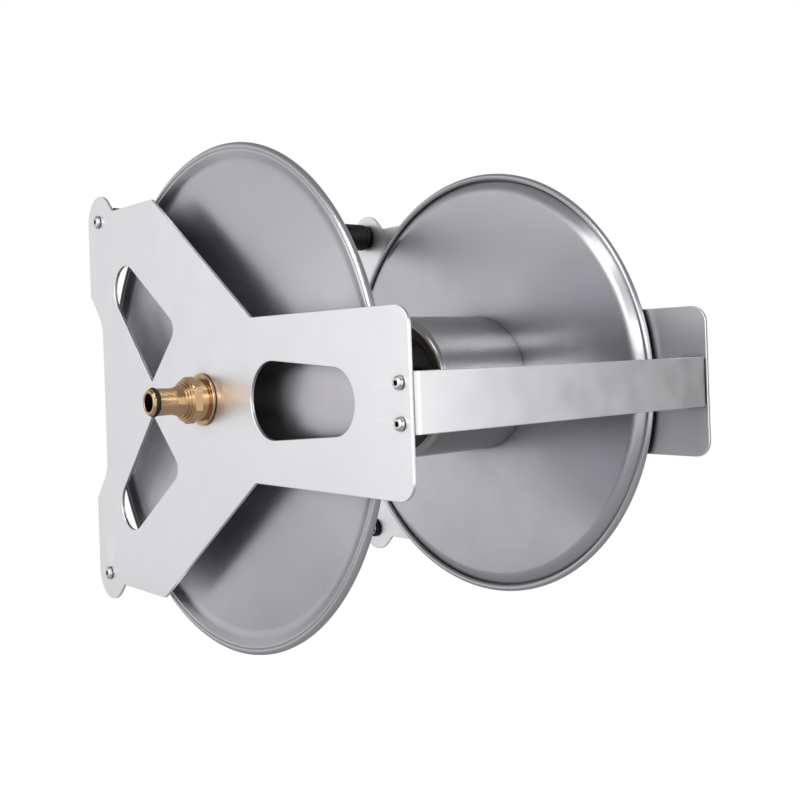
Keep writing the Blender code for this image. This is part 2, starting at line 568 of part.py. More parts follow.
def add_inlet(frame):
    """Brass inlet through the left plate, its seal rings and its lock nut."""
    shank_radius = PLATE_BORE_RADIUS - SEAT_GAP
    profile = [
        (inlet_x(NOZZLE_LENGTH), NOZZLE_BORE_RADIUS),
        (inlet_x(NOZZLE_LENGTH), NOZZLE_RADIUS - NOZZLE_CHAMFER),
        (inlet_x(NOZZLE_LENGTH - NOZZLE_CHAMFER), NOZZLE_RADIUS),
        (inlet_x(NOZZLE_GROOVE_END), NOZZLE_RADIUS),
        (inlet_x(NOZZLE_GROOVE_END), NOZZLE_GROOVE_RADIUS),
        (inlet_x(NOZZLE_GROOVE_START), NOZZLE_GROOVE_RADIUS),
        (inlet_x(NOZZLE_GROOVE_START), NOZZLE_RADIUS),
        (inlet_x(NOZZLE_START), NOZZLE_RADIUS),
        (inlet_x(INLET_STEPS_END), NOZZLE_ROOT_RADIUS),
    ]
    for i in reversed(range(INLET_STEP_COUNT)):
        step_start = INLET_HEX_END + i * INLET_STEP_LENGTH
        step_radius = INLET_STEP_RADIUS - i * INLET_STEP_DROP
        profile += [(inlet_x(step_start + INLET_STEP_LENGTH), step_radius), (inlet_x(step_start), step_radius)]
    profile += [
        (inlet_x(INLET_HEX_END), INLET_TURNED_RADIUS),
        (inlet_x(INLET_BARREL_END), INLET_TURNED_RADIUS),
        (inlet_x(INLET_BARREL_END), INLET_BARREL_RADIUS),
        (inlet_x(INLET_FLANGE_THICKNESS), INLET_BARREL_RADIUS),
        (inlet_x(INLET_FLANGE_THICKNESS), INLET_FLANGE_RADIUS),
        (inlet_x(SEAT_GAP), INLET_FLANGE_RADIUS),
        (inlet_x(SEAT_GAP), shank_radius),
        (-LOCKNUT_FACE, shank_radius),
        (-LOCKNUT_FACE, SPIGOT_RADIUS),
    ]
    for groove in (OUTER_GROOVE, INNER_GROOVE):
        profile += [(-groove - SEAL_GROOVE_WIDTH, SPIGOT_RADIUS), (-groove - SEAL_GROOVE_WIDTH, SEAL_GROOVE_RADIUS),
                    (-groove, SEAL_GROOVE_RADIUS), (-groove, SPIGOT_RADIUS)]
    profile += [
        (-SPIGOT_END, SPIGOT_RADIUS),
        (-SPIGOT_END, SPIGOT_BORE_RADIUS),
        (-LOCKNUT_FACE, SPIGOT_BORE_RADIUS),
        (inlet_x(0.0), NOZZLE_BORE_RADIUS),
    ]
    body = turned(profile, ROUND_STEPS)
    flats = []
    flat_distance = INLET_HEX_RADIUS * math.cos(math.pi / 6)
    cutter_size = 2 * INLET_TURNED_RADIUS
    hex_middle = (inlet_x(INLET_HEX_END) + inlet_x(INLET_BARREL_END)) / 2
    hex_length = INLET_HEX_END - INLET_BARREL_END
    for i in range(6):
        block = bmesh.new()
        bmesh.ops.create_cube(block, size=1.0)
        bmesh.ops.scale(block, verts=block.verts, vec=(hex_length + 2 * SEAT_GAP, cutter_size, INLET_TURNED_RADIUS))
        bmesh.ops.translate(block, verts=block.verts,
                            vec=(hex_middle, 0.0, flat_distance + INLET_TURNED_RADIUS / 2))
        flats.append(placed(block, Matrix.Rotation(math.pi / 6 + i * math.pi / 3, 4, "X")))
    make_part("water_inlet", carve(body, flats), BRASS, frame)
    add_seal_ring("nozzle_seal", inlet_x((NOZZLE_GROOVE_START + NOZZLE_GROOVE_END) / 2),
                  NOZZLE_GROOVE_RADIUS + SEAT_GAP, (NOZZLE_GROOVE_END - NOZZLE_GROOVE_START) / 2 - SEAT_GAP, frame)
    for label, groove in (("inner", INNER_GROOVE), ("outer", OUTER_GROOVE)):
        add_seal_ring(f"swivel_seal_{label}", -groove - SEAL_GROOVE_WIDTH / 2, SEAL_GROOVE_RADIUS + SEAT_GAP,
                      (SEAL_BORE_RADIUS - SEAL_GROOVE_RADIUS) / 2 - SEAT_GAP, frame)
    nut = hex_nut(-PLATE_INNER + SEAT_GAP, -LOCKNUT_FACE, LOCKNUT_RADIUS, PLATE_BORE_RADIUS, ROUND_STEPS)
    make_part("inlet_locknut", nut, BRASS, frame)


def add_seal_ring(name, x, inner_radius, section_radius, parent):
    """Round rubber ring around the axis."""
    section = circle(x, inner_radius + section_radius, section_radius, SEAL_STEPS)
    make_part(name, turned(section, ROUND_STEPS), BLACK_RUBBER, parent)


def add_bushes(frame, drum):
    """Left bush turns with the axle around the inlet's spigot, right bush sits in the right plate."""
    inner = LEFT_BUSH_BORE
    outer = inner + BUSH_WALL
    flange_end = AXLE_LEFT_END + SEAT_GAP + BUSH_FLANGE_THICKNESS
    make_part("left_bush", turned([
        (-flange_end, inner), (-flange_end, BUSH_FLANGE_RADIUS), (-AXLE_LEFT_END - SEAT_GAP, BUSH_FLANGE_RADIUS),
        (-AXLE_LEFT_END - SEAT_GAP, outer), (-AXLE_LEFT_END + LEFT_BUSH_LENGTH, outer),
        (-AXLE_LEFT_END + LEFT_BUSH_LENGTH, inner)], ROUND_STEPS), WHITE_PLASTIC, drum)
    inner = SHAFT_RADIUS + SEAT_GAP
    outer = PLATE_BORE_RADIUS - SEAT_GAP
    seat = PLATE_INNER - SEAT_GAP
    standout = PLATE_OUTER + RIGHT_BUSH_STANDOUT
    make_part("right_bush", turned([
        (seat - BUSH_FLANGE_THICKNESS, inner), (seat - BUSH_FLANGE_THICKNESS, BUSH_FLANGE_RADIUS),
        (seat, BUSH_FLANGE_RADIUS), (seat, outer), (standout, outer), (standout, inner)],
        ROUND_STEPS), WHITE_PLASTIC, frame)


def disc_profile(web, side):
    """Closed section of a stamped disc: flat web, outward step, land and rolled edge."""
    bore = AXLE_RADIUS + SEAT_GAP
    bead_centre = (DISC_RADIUS - BEAD_RADIUS, RIM_STEP - BEAD_RADIUS)
    step_middle = (DISC_FLAT_RADIUS + DISC_LAND_RADIUS) / 2
    hidden_rise = RIM_STEP - DISC_THICKNESS
    join = math.pi - math.asin((hidden_rise - bead_centre[1]) / BEAD_RADIUS)
    bead = (arc(bead_centre, BEAD_RADIUS, math.pi / 2, 0.0, BEAD_STEP)
            + arc(bead_centre, BEAD_RADIUS, 0.0, join - 2 * math.pi, BEAD_STEP)[1:])
    outer = [(bore, 0.0), (DISC_FLAT_RADIUS, 0.0), (step_middle, RIM_STEP / 2), (DISC_LAND_RADIUS, RIM_STEP)]
    inner = [(DISC_LAND_RADIUS, hidden_rise), (step_middle, RIM_STEP / 2 - DISC_THICKNESS),
             (DISC_FLAT_RADIUS, -DISC_THICKNESS), (bore, -DISC_THICKNESS)]
    return [(side * (web + rise), radius) for radius, rise in outer + bead + inner]


def bolt_places(side):
    """Turned places of the hub screws around the axis."""
    return [Matrix.Rotation(math.pi / HUB_BOLT_COUNT + i * 2 * math.pi / HUB_BOLT_COUNT, 4, "X")
            @ Matrix.Translation((0.0, 0.0, side * HUB_BOLT_CIRCLE)) for i in range(HUB_BOLT_COUNT)]


def add_drum_half(label, web, side, drum):
    """Disc, hub flange with its screws, drum tube and cap on one side of the outlet."""
    web_inner = web - DISC_THICKNESS
    drill_radius = HUB_BOLT_RADIUS + SEAT_GAP
    drills = [placed(rod(side * (web_inner - HUB_THICKNESS), side * (web + DISC_THICKNESS), drill_radius,
                         SMALL_STEPS), place) for place in bolt_places(side)]
    make_part(label + "_disc", carve(turned(disc_profile(web, side), DISC_STEPS), drills), STEEL, drum)

    hub_seat = web_inner - SEAT_GAP
    hub_back = hub_seat - HUB_THICKNESS
    boss_end = hub_seat - HUB_BOSS_LENGTH
    bore = AXLE_RADIUS + SEAT_GAP
    rim = DRUM_INNER_RADIUS - SEAT_GAP
    hub = turned([(side * x, radius) for x, radius in (
        (hub_seat, bore), (hub_seat, rim), (hub_back, rim), (hub_back, HUB_BOSS_RADIUS),
        (boss_end, HUB_BOSS_RADIUS), (boss_end, bore))], ROUND_STEPS)
    drills = [placed(rod(side * (hub_back - HUB_THICKNESS), side * (hub_seat + HUB_THICKNESS), drill_radius,
                         SMALL_STEPS), place) for place in bolt_places(side)]
    set_screw_x = side * (hub_back + boss_end) / 2
    to_radial = Matrix.Translation((set_screw_x, 0, 0)) @ Matrix.Rotation(-math.pi / 2, 4, "Y")
    drills.append(placed(rod(0.0, 2 * HUB_BOSS_RADIUS, SET_SCREW_RADIUS + SEAT_GAP, SMALL_STEPS), to_radial))
    make_part(label + "_hub_flange", carve(hub, drills), ALUMINIUM, drum)

    for i, place in enumerate(bolt_places(side)):
        screw = button_screw(HUB_BOLT_RADIUS, web - hub_back, HUB_HEAD_RADIUS,
                             HUB_HEAD_HEIGHT, HUB_SOCKET_RADIUS, side)
        seat = Matrix.Translation((side * (web + SEAT_GAP), 0, 0))
        make_part(f"{label}_hub_screw_{i + 1}", placed(screw, place @ seat), BRIGHT_STEEL, drum)

    screw = rod(bore, HUB_BOSS_RADIUS, SET_SCREW_RADIUS, SMALL_STEPS)
    socket = rod(HUB_BOSS_RADIUS - SET_SCREW_SOCKET_DEPTH, HUB_BOSS_RADIUS + SET_SCREW_SOCKET_DEPTH,
                 SET_SCREW_SOCKET_RADIUS, 6)
    make_part(label + "_set_screw", placed(carve(screw, [socket]), to_radial), BRIGHT_STEEL, drum)

    free_end = hub_seat - DRUM_LENGTH
    lip_centre = free_end + DRUM_LIP
    lip_outer = [(lip_centre - DRUM_LIP * math.cos(a), DRUM_RADIUS - DRUM_LIP + DRUM_LIP * math.sin(a))
                 for a in (0.0, math.pi / 6, math.pi / 3, math.pi / 2)]
    lip_inside = DRUM_LIP - DRUM_WALL
    lip_inner = [(lip_centre - lip_inside * math.cos(a), DRUM_RADIUS - DRUM_LIP + lip_inside * math.sin(a))
                 for a in (math.pi / 2, math.pi / 4, 0.0)]
    tube = [*lip_outer, (hub_seat, DRUM_RADIUS), (hub_seat, DRUM_INNER_RADIUS), *lip_inner]
    make_part(label + "_drum", turned([(side * x, radius) for x, radius in tube], DRUM_STEPS), STEEL, drum)

    cap_face = lip_centre + SEAT_GAP
    cap_back = cap_face + CAP_DEPTH
    cap = [(cap_face, rim), (cap_face, CAP_FACE_RADIUS), (cap_face + CAP_BEVEL_DEPTH, CAP_DISH_RADIUS),
           (cap_back - CAP_WALL, CAP_DISH_RADIUS), (cap_back - CAP_WALL, bore), (cap_back, bore),
           (cap_back, CAP_DISH_RADIUS + CAP_WALL), (cap_face + CAP_BEVEL_DEPTH, CAP_DISH_RADIUS + CAP_WALL),
           (cap_face + CAP_WALL, CAP_FACE_RADIUS + CAP_WALL / 2), (cap_face + CAP_WALL, rim - CAP_WALL),
           (cap_back, rim - CAP_WALL), (cap_back, rim)]
    make_part(label + "_drum_cap", turned([(side * x, radius) for x, radius in cap], DRUM_STEPS),
              BLACK_PLASTIC, drum)


def add_axle(drum):
    """Axle tube with the water way from the swivel to the outlet, the crank shaft and its cross pin."""
    bush_bore_end = -AXLE_LEFT_END + LEFT_BUSH_LENGTH + SEAT_GAP
    seal_bore_end = -SPIGOT_END + SEAL_END_DISTANCE
    water_end = OUTLET_X + AXLE_WATER_OVERRUN
    shaft_bore = SHAFT_RADIUS + SEAT_GAP
    shaft_bore_end = AXLE_RIGHT_END - SHAFT_DEPTH
    body = turned([
        (-AXLE_LEFT_END, AXLE_BUSH_BORE), (-AXLE_LEFT_END, AXLE_RADIUS), (AXLE_RIGHT_END, AXLE_RADIUS),
        (AXLE_RIGHT_END, shaft_bore), (shaft_bore_end, shaft_bore), (shaft_bore_end, 0.0), (water_end, 0.0),
        (water_end, AXLE_WATER_RADIUS), (seal_bore_end, AXLE_WATER_RADIUS), (seal_bore_end, SEAL_BORE_RADIUS),
        (bush_bore_end, SEAL_BORE_RADIUS), (bush_bore_end, AXLE_BUSH_BORE)], ROUND_STEPS)
    upward = Matrix.Rotation(-math.pi / 2, 4, "Y")
    neck_hole = placed(rod(0.0, 2 * AXLE_RADIUS, ELBOW_NECK_RADIUS + SEAT_GAP, ROUND_STEPS),
                       Matrix.Translation((OUTLET_X, 0, 0)) @ upward)
    pin_x = shaft_bore_end + CROSS_PIN_DISTANCE
    pin_place = Matrix.Translation((pin_x, 0, 0)) @ upward
    pin_hole = placed(rod(-2 * AXLE_RADIUS, 2 * AXLE_RADIUS, CROSS_PIN_RADIUS + SEAT_GAP, SMALL_STEPS), pin_place)
    make_part("axle_tube", carve(body, [neck_hole, pin_hole]), BRIGHT_STEEL, drum)

    square_end = CRANK_OUTER - SEAT_GAP
    shaft = rod(shaft_bore_end + SEAT_GAP, CRANK_INNER - SEAT_GAP, SHAFT_RADIUS, ROUND_STEPS)
    square = bmesh.new()
    bmesh.ops.create_cube(square, size=1.0)
    square_length = square_end - PLATE_OUTER
    bmesh.ops.scale(square, verts=square.verts, vec=(square_length, CRANK_SQUARE, CRANK_SQUARE))
    bmesh.ops.translate(square, verts=square.verts, vec=(square_end - square_length / 2, 0, 0))
    shaft = carve(shaft, [square], "UNION")
    screw_bore = rod(square_end - CRANK_SCREW_LENGTH - TAP_RUNOUT, square_end + CRANK_THICKNESS,
                     CRANK_SCREW_RADIUS + SEAT_GAP, SMALL_STEPS)
    pin_hole = placed(rod(-2 * AXLE_RADIUS, 2 * AXLE_RADIUS, CROSS_PIN_RADIUS + SEAT_GAP, SMALL_STEPS), pin_place)
    make_part("crank_shaft", carve(shaft, [screw_bore, pin_hole]), BRIGHT_STEEL, drum)
    pin = rod(-AXLE_RADIUS, AXLE_RADIUS, CROSS_PIN_RADIUS, SMALL_STEPS)
    make_part("crank_shaft_pin", placed(pin, pin_place), BRIGHT_STEEL, drum)


def add_outlet_elbow(drum):
    """Brass elbow between the drum halves: neck in the axle tube, threaded end for the hose."""
    upward = Matrix.Rotation(-math.pi / 2, 4, "Y")
    sideways = Matrix.Rotation(math.pi / 2, 4, "Z")
    foot = AXLE_RADIUS + SEAT_GAP
    lift = Matrix.Translation((0, 0, ELBOW_RISE))
    riser = placed(turned([(foot - ELBOW_NECK_INSERT, 0.0), (foot - ELBOW_NECK_INSERT, ELBOW_NECK_RADIUS),
                           (foot, ELBOW_NECK_RADIUS), (foot, ELBOW_RADIUS), (ELBOW_RISE, ELBOW_RADIUS),
                           (ELBOW_RISE, 0.0)], ROUND_STEPS), upward)
    corner = bmesh.new()
    bmesh.ops.create_uvsphere(corner, u_segments=ROUND_STEPS, v_segments=SMALL_STEPS, radius=ELBOW_KNUCKLE_RADIUS)
    placed(corner, lift)
    outlet = placed(turned([(0.0, 0.0), (0.0, ELBOW_RADIUS), (ELBOW_THREAD_START, ELBOW_RADIUS),
                            (ELBOW_THREAD_START, ELBOW_THREAD_RADIUS), (ELBOW_LENGTH, ELBOW_THREAD_RADIUS),
                            (ELBOW_LENGTH, 0.0)], ROUND_STEPS), lift @ sideways)
    body = carve(riser, [corner, outlet], "UNION")
    rising_bore = placed(rod(0.0, ELBOW_RISE, ELBOW_BORE_RADIUS, SMALL_STEPS), upward)
    outlet_bore = placed(rod(-ELBOW_OUTLET_BORE_RADIUS, 2 * ELBOW_LENGTH, ELBOW_OUTLET_BORE_RADIUS, ROUND_STEPS),
                         lift @ sideways)
    elbow = carve(body, [outlet_bore, rising_bore])
    make_part("outlet_elbow", placed(elbow, Matrix.Translation((OUTLET_X, 0, 0))), BRASS, drum)


def add_crank(drum, grip):
    """Crank arm on the shaft's square, pointing down, with the turning grip on its pin."""
    outline = wrapped([(0.0, -CRANK_RADIUS, CRANK_END_RADIUS), (0.0, 0.0, CRANK_HUB_RADIUS)])
    half = CRANK_SQUARE / 2 + SEAT_GAP
    square = [(half, half), (-half, half), (-half, -half), (half, -half)]
    pin_hole = circle(0.0, -CRANK_RADIUS, GRIP_PIN_RADIUS + SEAT_GAP, SMALL_STEPS)
    make_part("crank_arm", sheet(CRANK_INNER, CRANK_THICKNESS, [outline, square, pin_hole]), STEEL, drum)

    washer_start = CRANK_OUTER + SEAT_GAP
    washer_end = washer_start + CRANK_WASHER_THICKNESS
    make_part("crank_washer", ring(washer_start, washer_end, CRANK_SCREW_RADIUS + SEAT_GAP,
                                   CRANK_WASHER_RADIUS, ROUND_STEPS), BRIGHT_STEEL, drum)
    screw = button_screw(CRANK_SCREW_RADIUS, CRANK_SCREW_LENGTH, CRANK_HEAD_RADIUS, CRANK_HEAD_HEIGHT,
                         CRANK_SOCKET_RADIUS, 1)
    make_part("crank_screw", placed(screw, Matrix.Translation((washer_end + SEAT_GAP, 0, 0))),
              BRIGHT_STEEL, drum)

    down = Matrix.Translation((0, 0, -CRANK_RADIUS))
    nut_outer = CRANK_INNER - SEAT_GAP
    nut_inner = nut_outer - GRIP_NUT_THICKNESS
    head_seat = GRIP_END + SEAT_GAP
    pin = button_screw(GRIP_PIN_RADIUS, head_seat - nut_inner, GRIP_PIN_HEAD_RADIUS, GRIP_PIN_HEAD_HEIGHT,
                       GRIP_PIN_SOCKET_RADIUS, 1)
    make_part("crank_grip_pin", placed(pin, down @ Matrix.Translation((head_seat, 0, 0))), BRIGHT_STEEL, drum)
    nut = hex_nut(nut_inner, nut_outer, GRIP_NUT_RADIUS, GRIP_PIN_RADIUS + SEAT_GAP)
    make_part("crank_grip_nut", placed(nut, down), BRIGHT_STEEL, drum)

    bore = GRIP_PIN_RADIUS + SEAT_GAP
    middle = (GRIP_START + GRIP_END) / 2
    make_part("crank_grip", turned([
        (GRIP_START, bore), (GRIP_START, GRIP_END_RADIUS - GRIP_EDGE), (GRIP_START + GRIP_EDGE, GRIP_END_RADIUS),
        (middle, GRIP_BELLY_RADIUS), (GRIP_END - GRIP_EDGE, GRIP_END_RADIUS),
        (GRIP_END, GRIP_END_RADIUS - GRIP_EDGE), (GRIP_END, bore)], ROUND_STEPS), BLACK_PLASTIC, grip)


def main():
    clear_scene()
    frame = make_empty("frame_axis", (0.0, -WALL_REACH, 0.0))
    drum = make_empty("drum_axis", (0.0, -WALL_REACH, 0.0))
    grip = make_empty("crank_grip_axis", (0.0, 0.0, -CRANK_RADIUS), drum)
    add_side_plates(frame)
    add_front_bar(frame)
    add_upper_rod(frame)
    add_lower_ears(frame)
    add_inlet(frame)
    add_bushes(frame, drum)
    add_drum_half("left", LEFT_WEB, -1, drum)
    add_drum_half("right", RIGHT_WEB, 1, drum)
    add_axle(drum)
    add_outlet_elbow(drum)
    add_crank(drum, grip)


main()
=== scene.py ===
"""Looks of the wall-mounted hose reel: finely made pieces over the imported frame, finishes, studio and camera.

Metres, +Z up, in the frame's own axes: X along the drum's axis with the inlet at -X, Y = 0 at the wall, Z = 0 at
the axis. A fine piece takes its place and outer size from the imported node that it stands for.
"""
import json
import math

import bmesh
import bpy
from mathutils import Matrix, Vector

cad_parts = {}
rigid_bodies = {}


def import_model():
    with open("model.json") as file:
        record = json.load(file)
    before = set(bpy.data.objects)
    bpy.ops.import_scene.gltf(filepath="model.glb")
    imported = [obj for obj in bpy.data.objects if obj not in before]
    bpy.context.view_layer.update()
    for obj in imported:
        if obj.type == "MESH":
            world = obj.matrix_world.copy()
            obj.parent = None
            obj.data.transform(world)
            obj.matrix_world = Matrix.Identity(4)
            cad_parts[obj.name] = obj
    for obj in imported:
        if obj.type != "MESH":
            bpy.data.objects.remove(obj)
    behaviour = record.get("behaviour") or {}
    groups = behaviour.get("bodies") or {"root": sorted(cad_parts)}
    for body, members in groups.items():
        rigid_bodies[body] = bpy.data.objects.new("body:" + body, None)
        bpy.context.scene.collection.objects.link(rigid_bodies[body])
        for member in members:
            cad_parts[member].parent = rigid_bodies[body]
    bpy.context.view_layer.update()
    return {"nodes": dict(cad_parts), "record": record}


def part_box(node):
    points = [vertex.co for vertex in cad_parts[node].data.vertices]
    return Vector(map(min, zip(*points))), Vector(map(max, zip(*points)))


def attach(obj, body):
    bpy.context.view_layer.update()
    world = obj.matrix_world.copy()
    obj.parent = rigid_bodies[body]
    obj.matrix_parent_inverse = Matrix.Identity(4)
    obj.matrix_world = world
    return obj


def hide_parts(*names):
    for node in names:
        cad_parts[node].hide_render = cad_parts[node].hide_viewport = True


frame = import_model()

# Side plates, as in the frame: reach is measured from the drum's axis, towards the wall or the front
WALL_REACH = 0.1505
FRONT_REACH = 0.1855
ARM_HALF_HEIGHT = 0.0453
ARM_CORNER_RADIUS = 0.010
CROTCH_REACH = 0.0537
CROTCH_RADIUS = 0.0035
SHOULDER_REACH = 0.0563
SHOULDER_HEIGHT = 0.1248
SHOULDER_RADIUS = 0.002
EAR_WIDTH = 0.0375
EAR_FLANK_ANGLE = math.radians(45.0)
EAR_RADIUS = 0.018
RECESS_DEPTH = 0.0172
RECESS_KINK_HEIGHT = 0.070
RECESS_ANGLE = math.radians(50.0)
RECESS_RADIUS = 0.020
SMALL_RADIUS = 0.0008
SLOT_INSET = 0.0585
SLOT_FRONT_RADIUS = 0.0172
SLOT_SPAN = 0.054
SLOT_REAR_RADIUS = 0.0212
DROP_TIP = (0.0639, 0.0112)
DROP_END = (0.0965, 0.0705)
DROP_END_RADIUS = 0.0160
DROP_SHOULDER = (0.0420, 0.0427)
DROP_SHOULDER_RADIUS = 0.0080
PLATE_BORE_RADIUS = 0.0107
PLATE_EDGE = 0.00035         # rounding of a cut sheet's edge

# Front bar and black sleeve
BAR_THICKNESS = 0.003
BAR_BEND_RADIUS = 0.0036
BAR_EDGE = 0.0004
ROD_RADIUS = 0.0045
SLEEVE_END_RADIUS = 0.003
RIB_PITCH = 0.0025           # ribs of the black sleeve
RIB_DEPTH = 0.0005
RIB_STEPS = 6                # points along one rib

# Screws, nuts, washers and bushes
HOLE_CLEARANCE = 0.0003
EAR_BOLT_RADIUS = 0.0025
BAR_BOLT_RADIUS = 0.0020
HUB_BOLT_RADIUS = 0.0025
CRANK_SCREW_RADIUS = 0.003
GRIP_PIN_RADIUS = 0.004
# Button-head screws: radius of the shank, height of the head, corner radius of the socket
EAR_SCREW = (EAR_BOLT_RADIUS, 0.0022, 0.0017)
BAR_SCREW = (BAR_BOLT_RADIUS, 0.0022, 0.00145)
HUB_SCREW = (HUB_BOLT_RADIUS, 0.0022, 0.0017)
CRANK_SCREW = (CRANK_SCREW_RADIUS, 0.0033, 0.0022)
GRIP_PIN = (GRIP_PIN_RADIUS, 0.003, 0.0026)
# Shares of a screw or nut: straight edge and flat top of a head, chamfered tip, socket below the seat, and
# the turned ring on a nut's faces
HEAD_EDGE_SHARE = 0.2
HEAD_TOP_SHARE = 0.52
TIP_CHAMFER_SHARE = 0.25
SOCKET_DEPTH_SHARE = 0.5
NUT_FACE_SHARE = 0.93
NUT_FACE_ANGLE = math.radians(30.0)
FASTENER_EDGE = 0.00012
EAR_WASHER_EDGE = 0.0002
EAR_BUSH_EDGE = 0.0009

# Discs
DISC_THICKNESS = 0.0012
LAND_WIDTH = 0.0042
RIM_WIDTH = 0.0068
RIM_STEP = 0.0045
RIM_FOOT_RADIUS = 0.010      # where the web rises into the step
LAND_CORNER_RADIUS = 0.002
LAND_INNER_RADIUS = 0.0003
BEAD_RADIUS = 0.0022
BEAD_START = math.radians(118.0)
BEAD_STEP = math.radians(10.0)
BEAD_GROOVE = 0.0005         # nick between the rolled edge and the land
BEAD_GROOVE_WIDTH = 0.0003
AXLE_RADIUS = 0.013
HUB_BOLT_CIRCLE = 0.032
HUB_BOLT_COUNT = 4
HUB_DRILL_REACH = 0.005      # past the web on both sides
SCREW_RING_MARGIN = 0.010    # rings of points that keep the web's shading flat
RIM_RING_MARGIN = 0.008

# Drum
DRUM_WALL = 0.0015
DRUM_LIP = 0.004
CAP_WALL = 0.002
CAP_FACE_WIDTH = 0.0097
CAP_BEVEL_WIDTH = 0.0055
CAP_BEVEL_DEPTH = 0.004
CAP_RIM_EDGE = 0.0004
CAP_BEVEL_EDGE = 0.0012
CAP_FLOOR_RADIUS = 0.0015
CAP_BACK_RADIUS = 0.002
CAP_BACK_EDGE = 0.0008

# Brass inlet, lengths from the left plate's outer face
INLET_FLANGE_THICKNESS = 0.0018
INLET_BARREL_RADIUS = 0.0123
INLET_BARREL_END = 0.0072
INLET_HEX_RADIUS = 0.0143
INLET_TURNED_RADIUS = 0.0136
INLET_HEX_FACE_SHARE = 0.94  # turned ring on the hexagon's face
INLET_HEX_CHAMFER = 0.0008
INLET_HEX_END = 0.0120
INLET_STEP_COUNT = 3
INLET_STEP_LENGTH = 0.0012
INLET_STEP_RADIUS = 0.0121
INLET_STEP_DROP = 0.0011
NOZZLE_ROOT_RADIUS = 0.0090
NOZZLE_TAPER_LENGTH = 0.0050
NOZZLE_RADIUS = 0.0078
NOZZLE_GROOVE_RADIUS = 0.0062
NOZZLE_GROOVE_WIDTH = 0.0026
NOZZLE_GROOVE_INSET = 0.0016
NOZZLE_CHAMFER = 0.0011
NOZZLE_BORE_RADIUS = 0.0052
NOZZLE_FLARE_RADIUS = 0.008
NOZZLE_EDGE = 0.0004
GROOVE_EDGE = 0.00015
STEP_EDGE = 0.00025
FLANGE_EDGE = 0.0005
SPIGOT_RADIUS = 0.0080
SPIGOT_BORE_RADIUS = 0.0043

# Crank
CRANK_HUB_RADIUS = 0.014
CRANK_END_RADIUS = 0.010
CRANK_SQUARE = 0.010
CRANK_SQUARE_CORNER = 0.0004
CRANK_EDGE = 0.0008
CRANK_WASHER_EDGE = 0.0003
GRIP_END_RADIUS = 0.0115
GRIP_EDGE = 0.002

# Fineness
DISC_STEPS = 256
DRUM_STEPS = 128
ROUND_STEPS = 96
SLEEVE_STEPS = 64
SMALL_STEPS = 48
SEAL_STEPS = 24
GRIP_STEPS = 40              # along the grip's swell
HEXAGON = 6                  # steps that make a hexagon of a rod
ARC_STEP = math.radians(6.0)
SHEET_EDGE_ANGLES = [math.radians(30.0 * i) for i in range(4)]
SHARP_ANGLE = math.radians(34.0)
MERGE_DISTANCE = 1e-6

NODES = frame["nodes"]
BODY_OF = {node: body for body, names in frame["record"]["behaviour"]["bodies"].items() for node in names}
SLOT_OF = {item["node"]: item["material_slot"] for item in frame["record"]["subparts"]}
SIDES = (("left", -1), ("right", 1))
QUARTER_ANGLES = [math.radians(6.0 * i) for i in range(16)]


# ---------------------------------------------------------------- shapes

def arc(centre, radius, start, end, step=ARC_STEP):
    """Points on an arc from one angle to another, no further apart than the step."""
    count = max(2, math.ceil(abs(end - start) / step))
    angles = [start + (end - start) * i / count for i in range(count + 1)]
    return [(centre[0] + radius * math.cos(a), centre[1] + radius * math.sin(a)) for a in angles]


def rounded(corners):
    """Closed outline through (a, b, radius) corners, each one replaced by a tangent arc."""
    points = []
    for i, (a, b, radius) in enumerate(corners):
        corner = Vector((a, b))
        if radius == 0.0:
            points.append((a, b))
            continue
        before = (Vector(corners[i - 1][:2]) - corner).normalized()
        after = (Vector(corners[(i + 1) % len(corners)][:2]) - corner).normalized()
        half = before.angle(after) / 2
        centre = corner + (before + after).normalized() * radius / math.sin(half)
        first = corner + before * radius / math.tan(half) - centre
        last = corner + after * radius / math.tan(half) - centre
        start = math.atan2(first.y, first.x)
        turn = math.remainder(math.atan2(last.y, last.x) - start, 2 * math.pi)
        points += arc(centre, radius, start, start + turn)
    return points


def wrapped(circles):
    """Closed outline pulled tight around (a, b, radius) circles given anticlockwise."""
    normals = []
    for i, (a, b, radius) in enumerate(circles):
        next_a, next_b, next_radius = circles[(i + 1) % len(circles)]
        distance = math.hypot(next_a - a, next_b - b)
        heading = math.atan2(next_b - b, next_a - a)
        normals.append(heading - math.acos((radius - next_radius) / distance))
    points = []
    for i, (a, b, radius) in enumerate(circles):
        turn = (normals[i] - normals[i - 1]) % (2 * math.pi)
        points += arc((a, b), radius, normals[i - 1], normals[i - 1] + turn)
    return points


def circle(a, b, radius, steps=SMALL_STEPS):
    return [(a + radius * math.cos(2 * math.pi * i / steps), b + radius * math.sin(2 * math.pi * i / steps))
            for i in range(steps)]


def inset(outline, distance):
    """The outline moved inwards by a distance, or outwards where the distance is negative."""
    area = sum(outline[i - 1][0] * outline[i][1] - outline[i][0] * outline[i - 1][1] for i in range(len(outline)))
    side = math.copysign(distance, distance * area)
    moved = []
    for i, point in enumerate(outline):
        here = Vector(point)
        first = (here - Vector(outline[i - 1])).normalized()
        second = (Vector(outline[(i + 1) % len(outline)]) - here).normalized()
        along = (first + second).normalized()
        reach = side / along.dot(first)
        moved.append((here.x - along.y * reach, here.y + along.x * reach))
    return moved


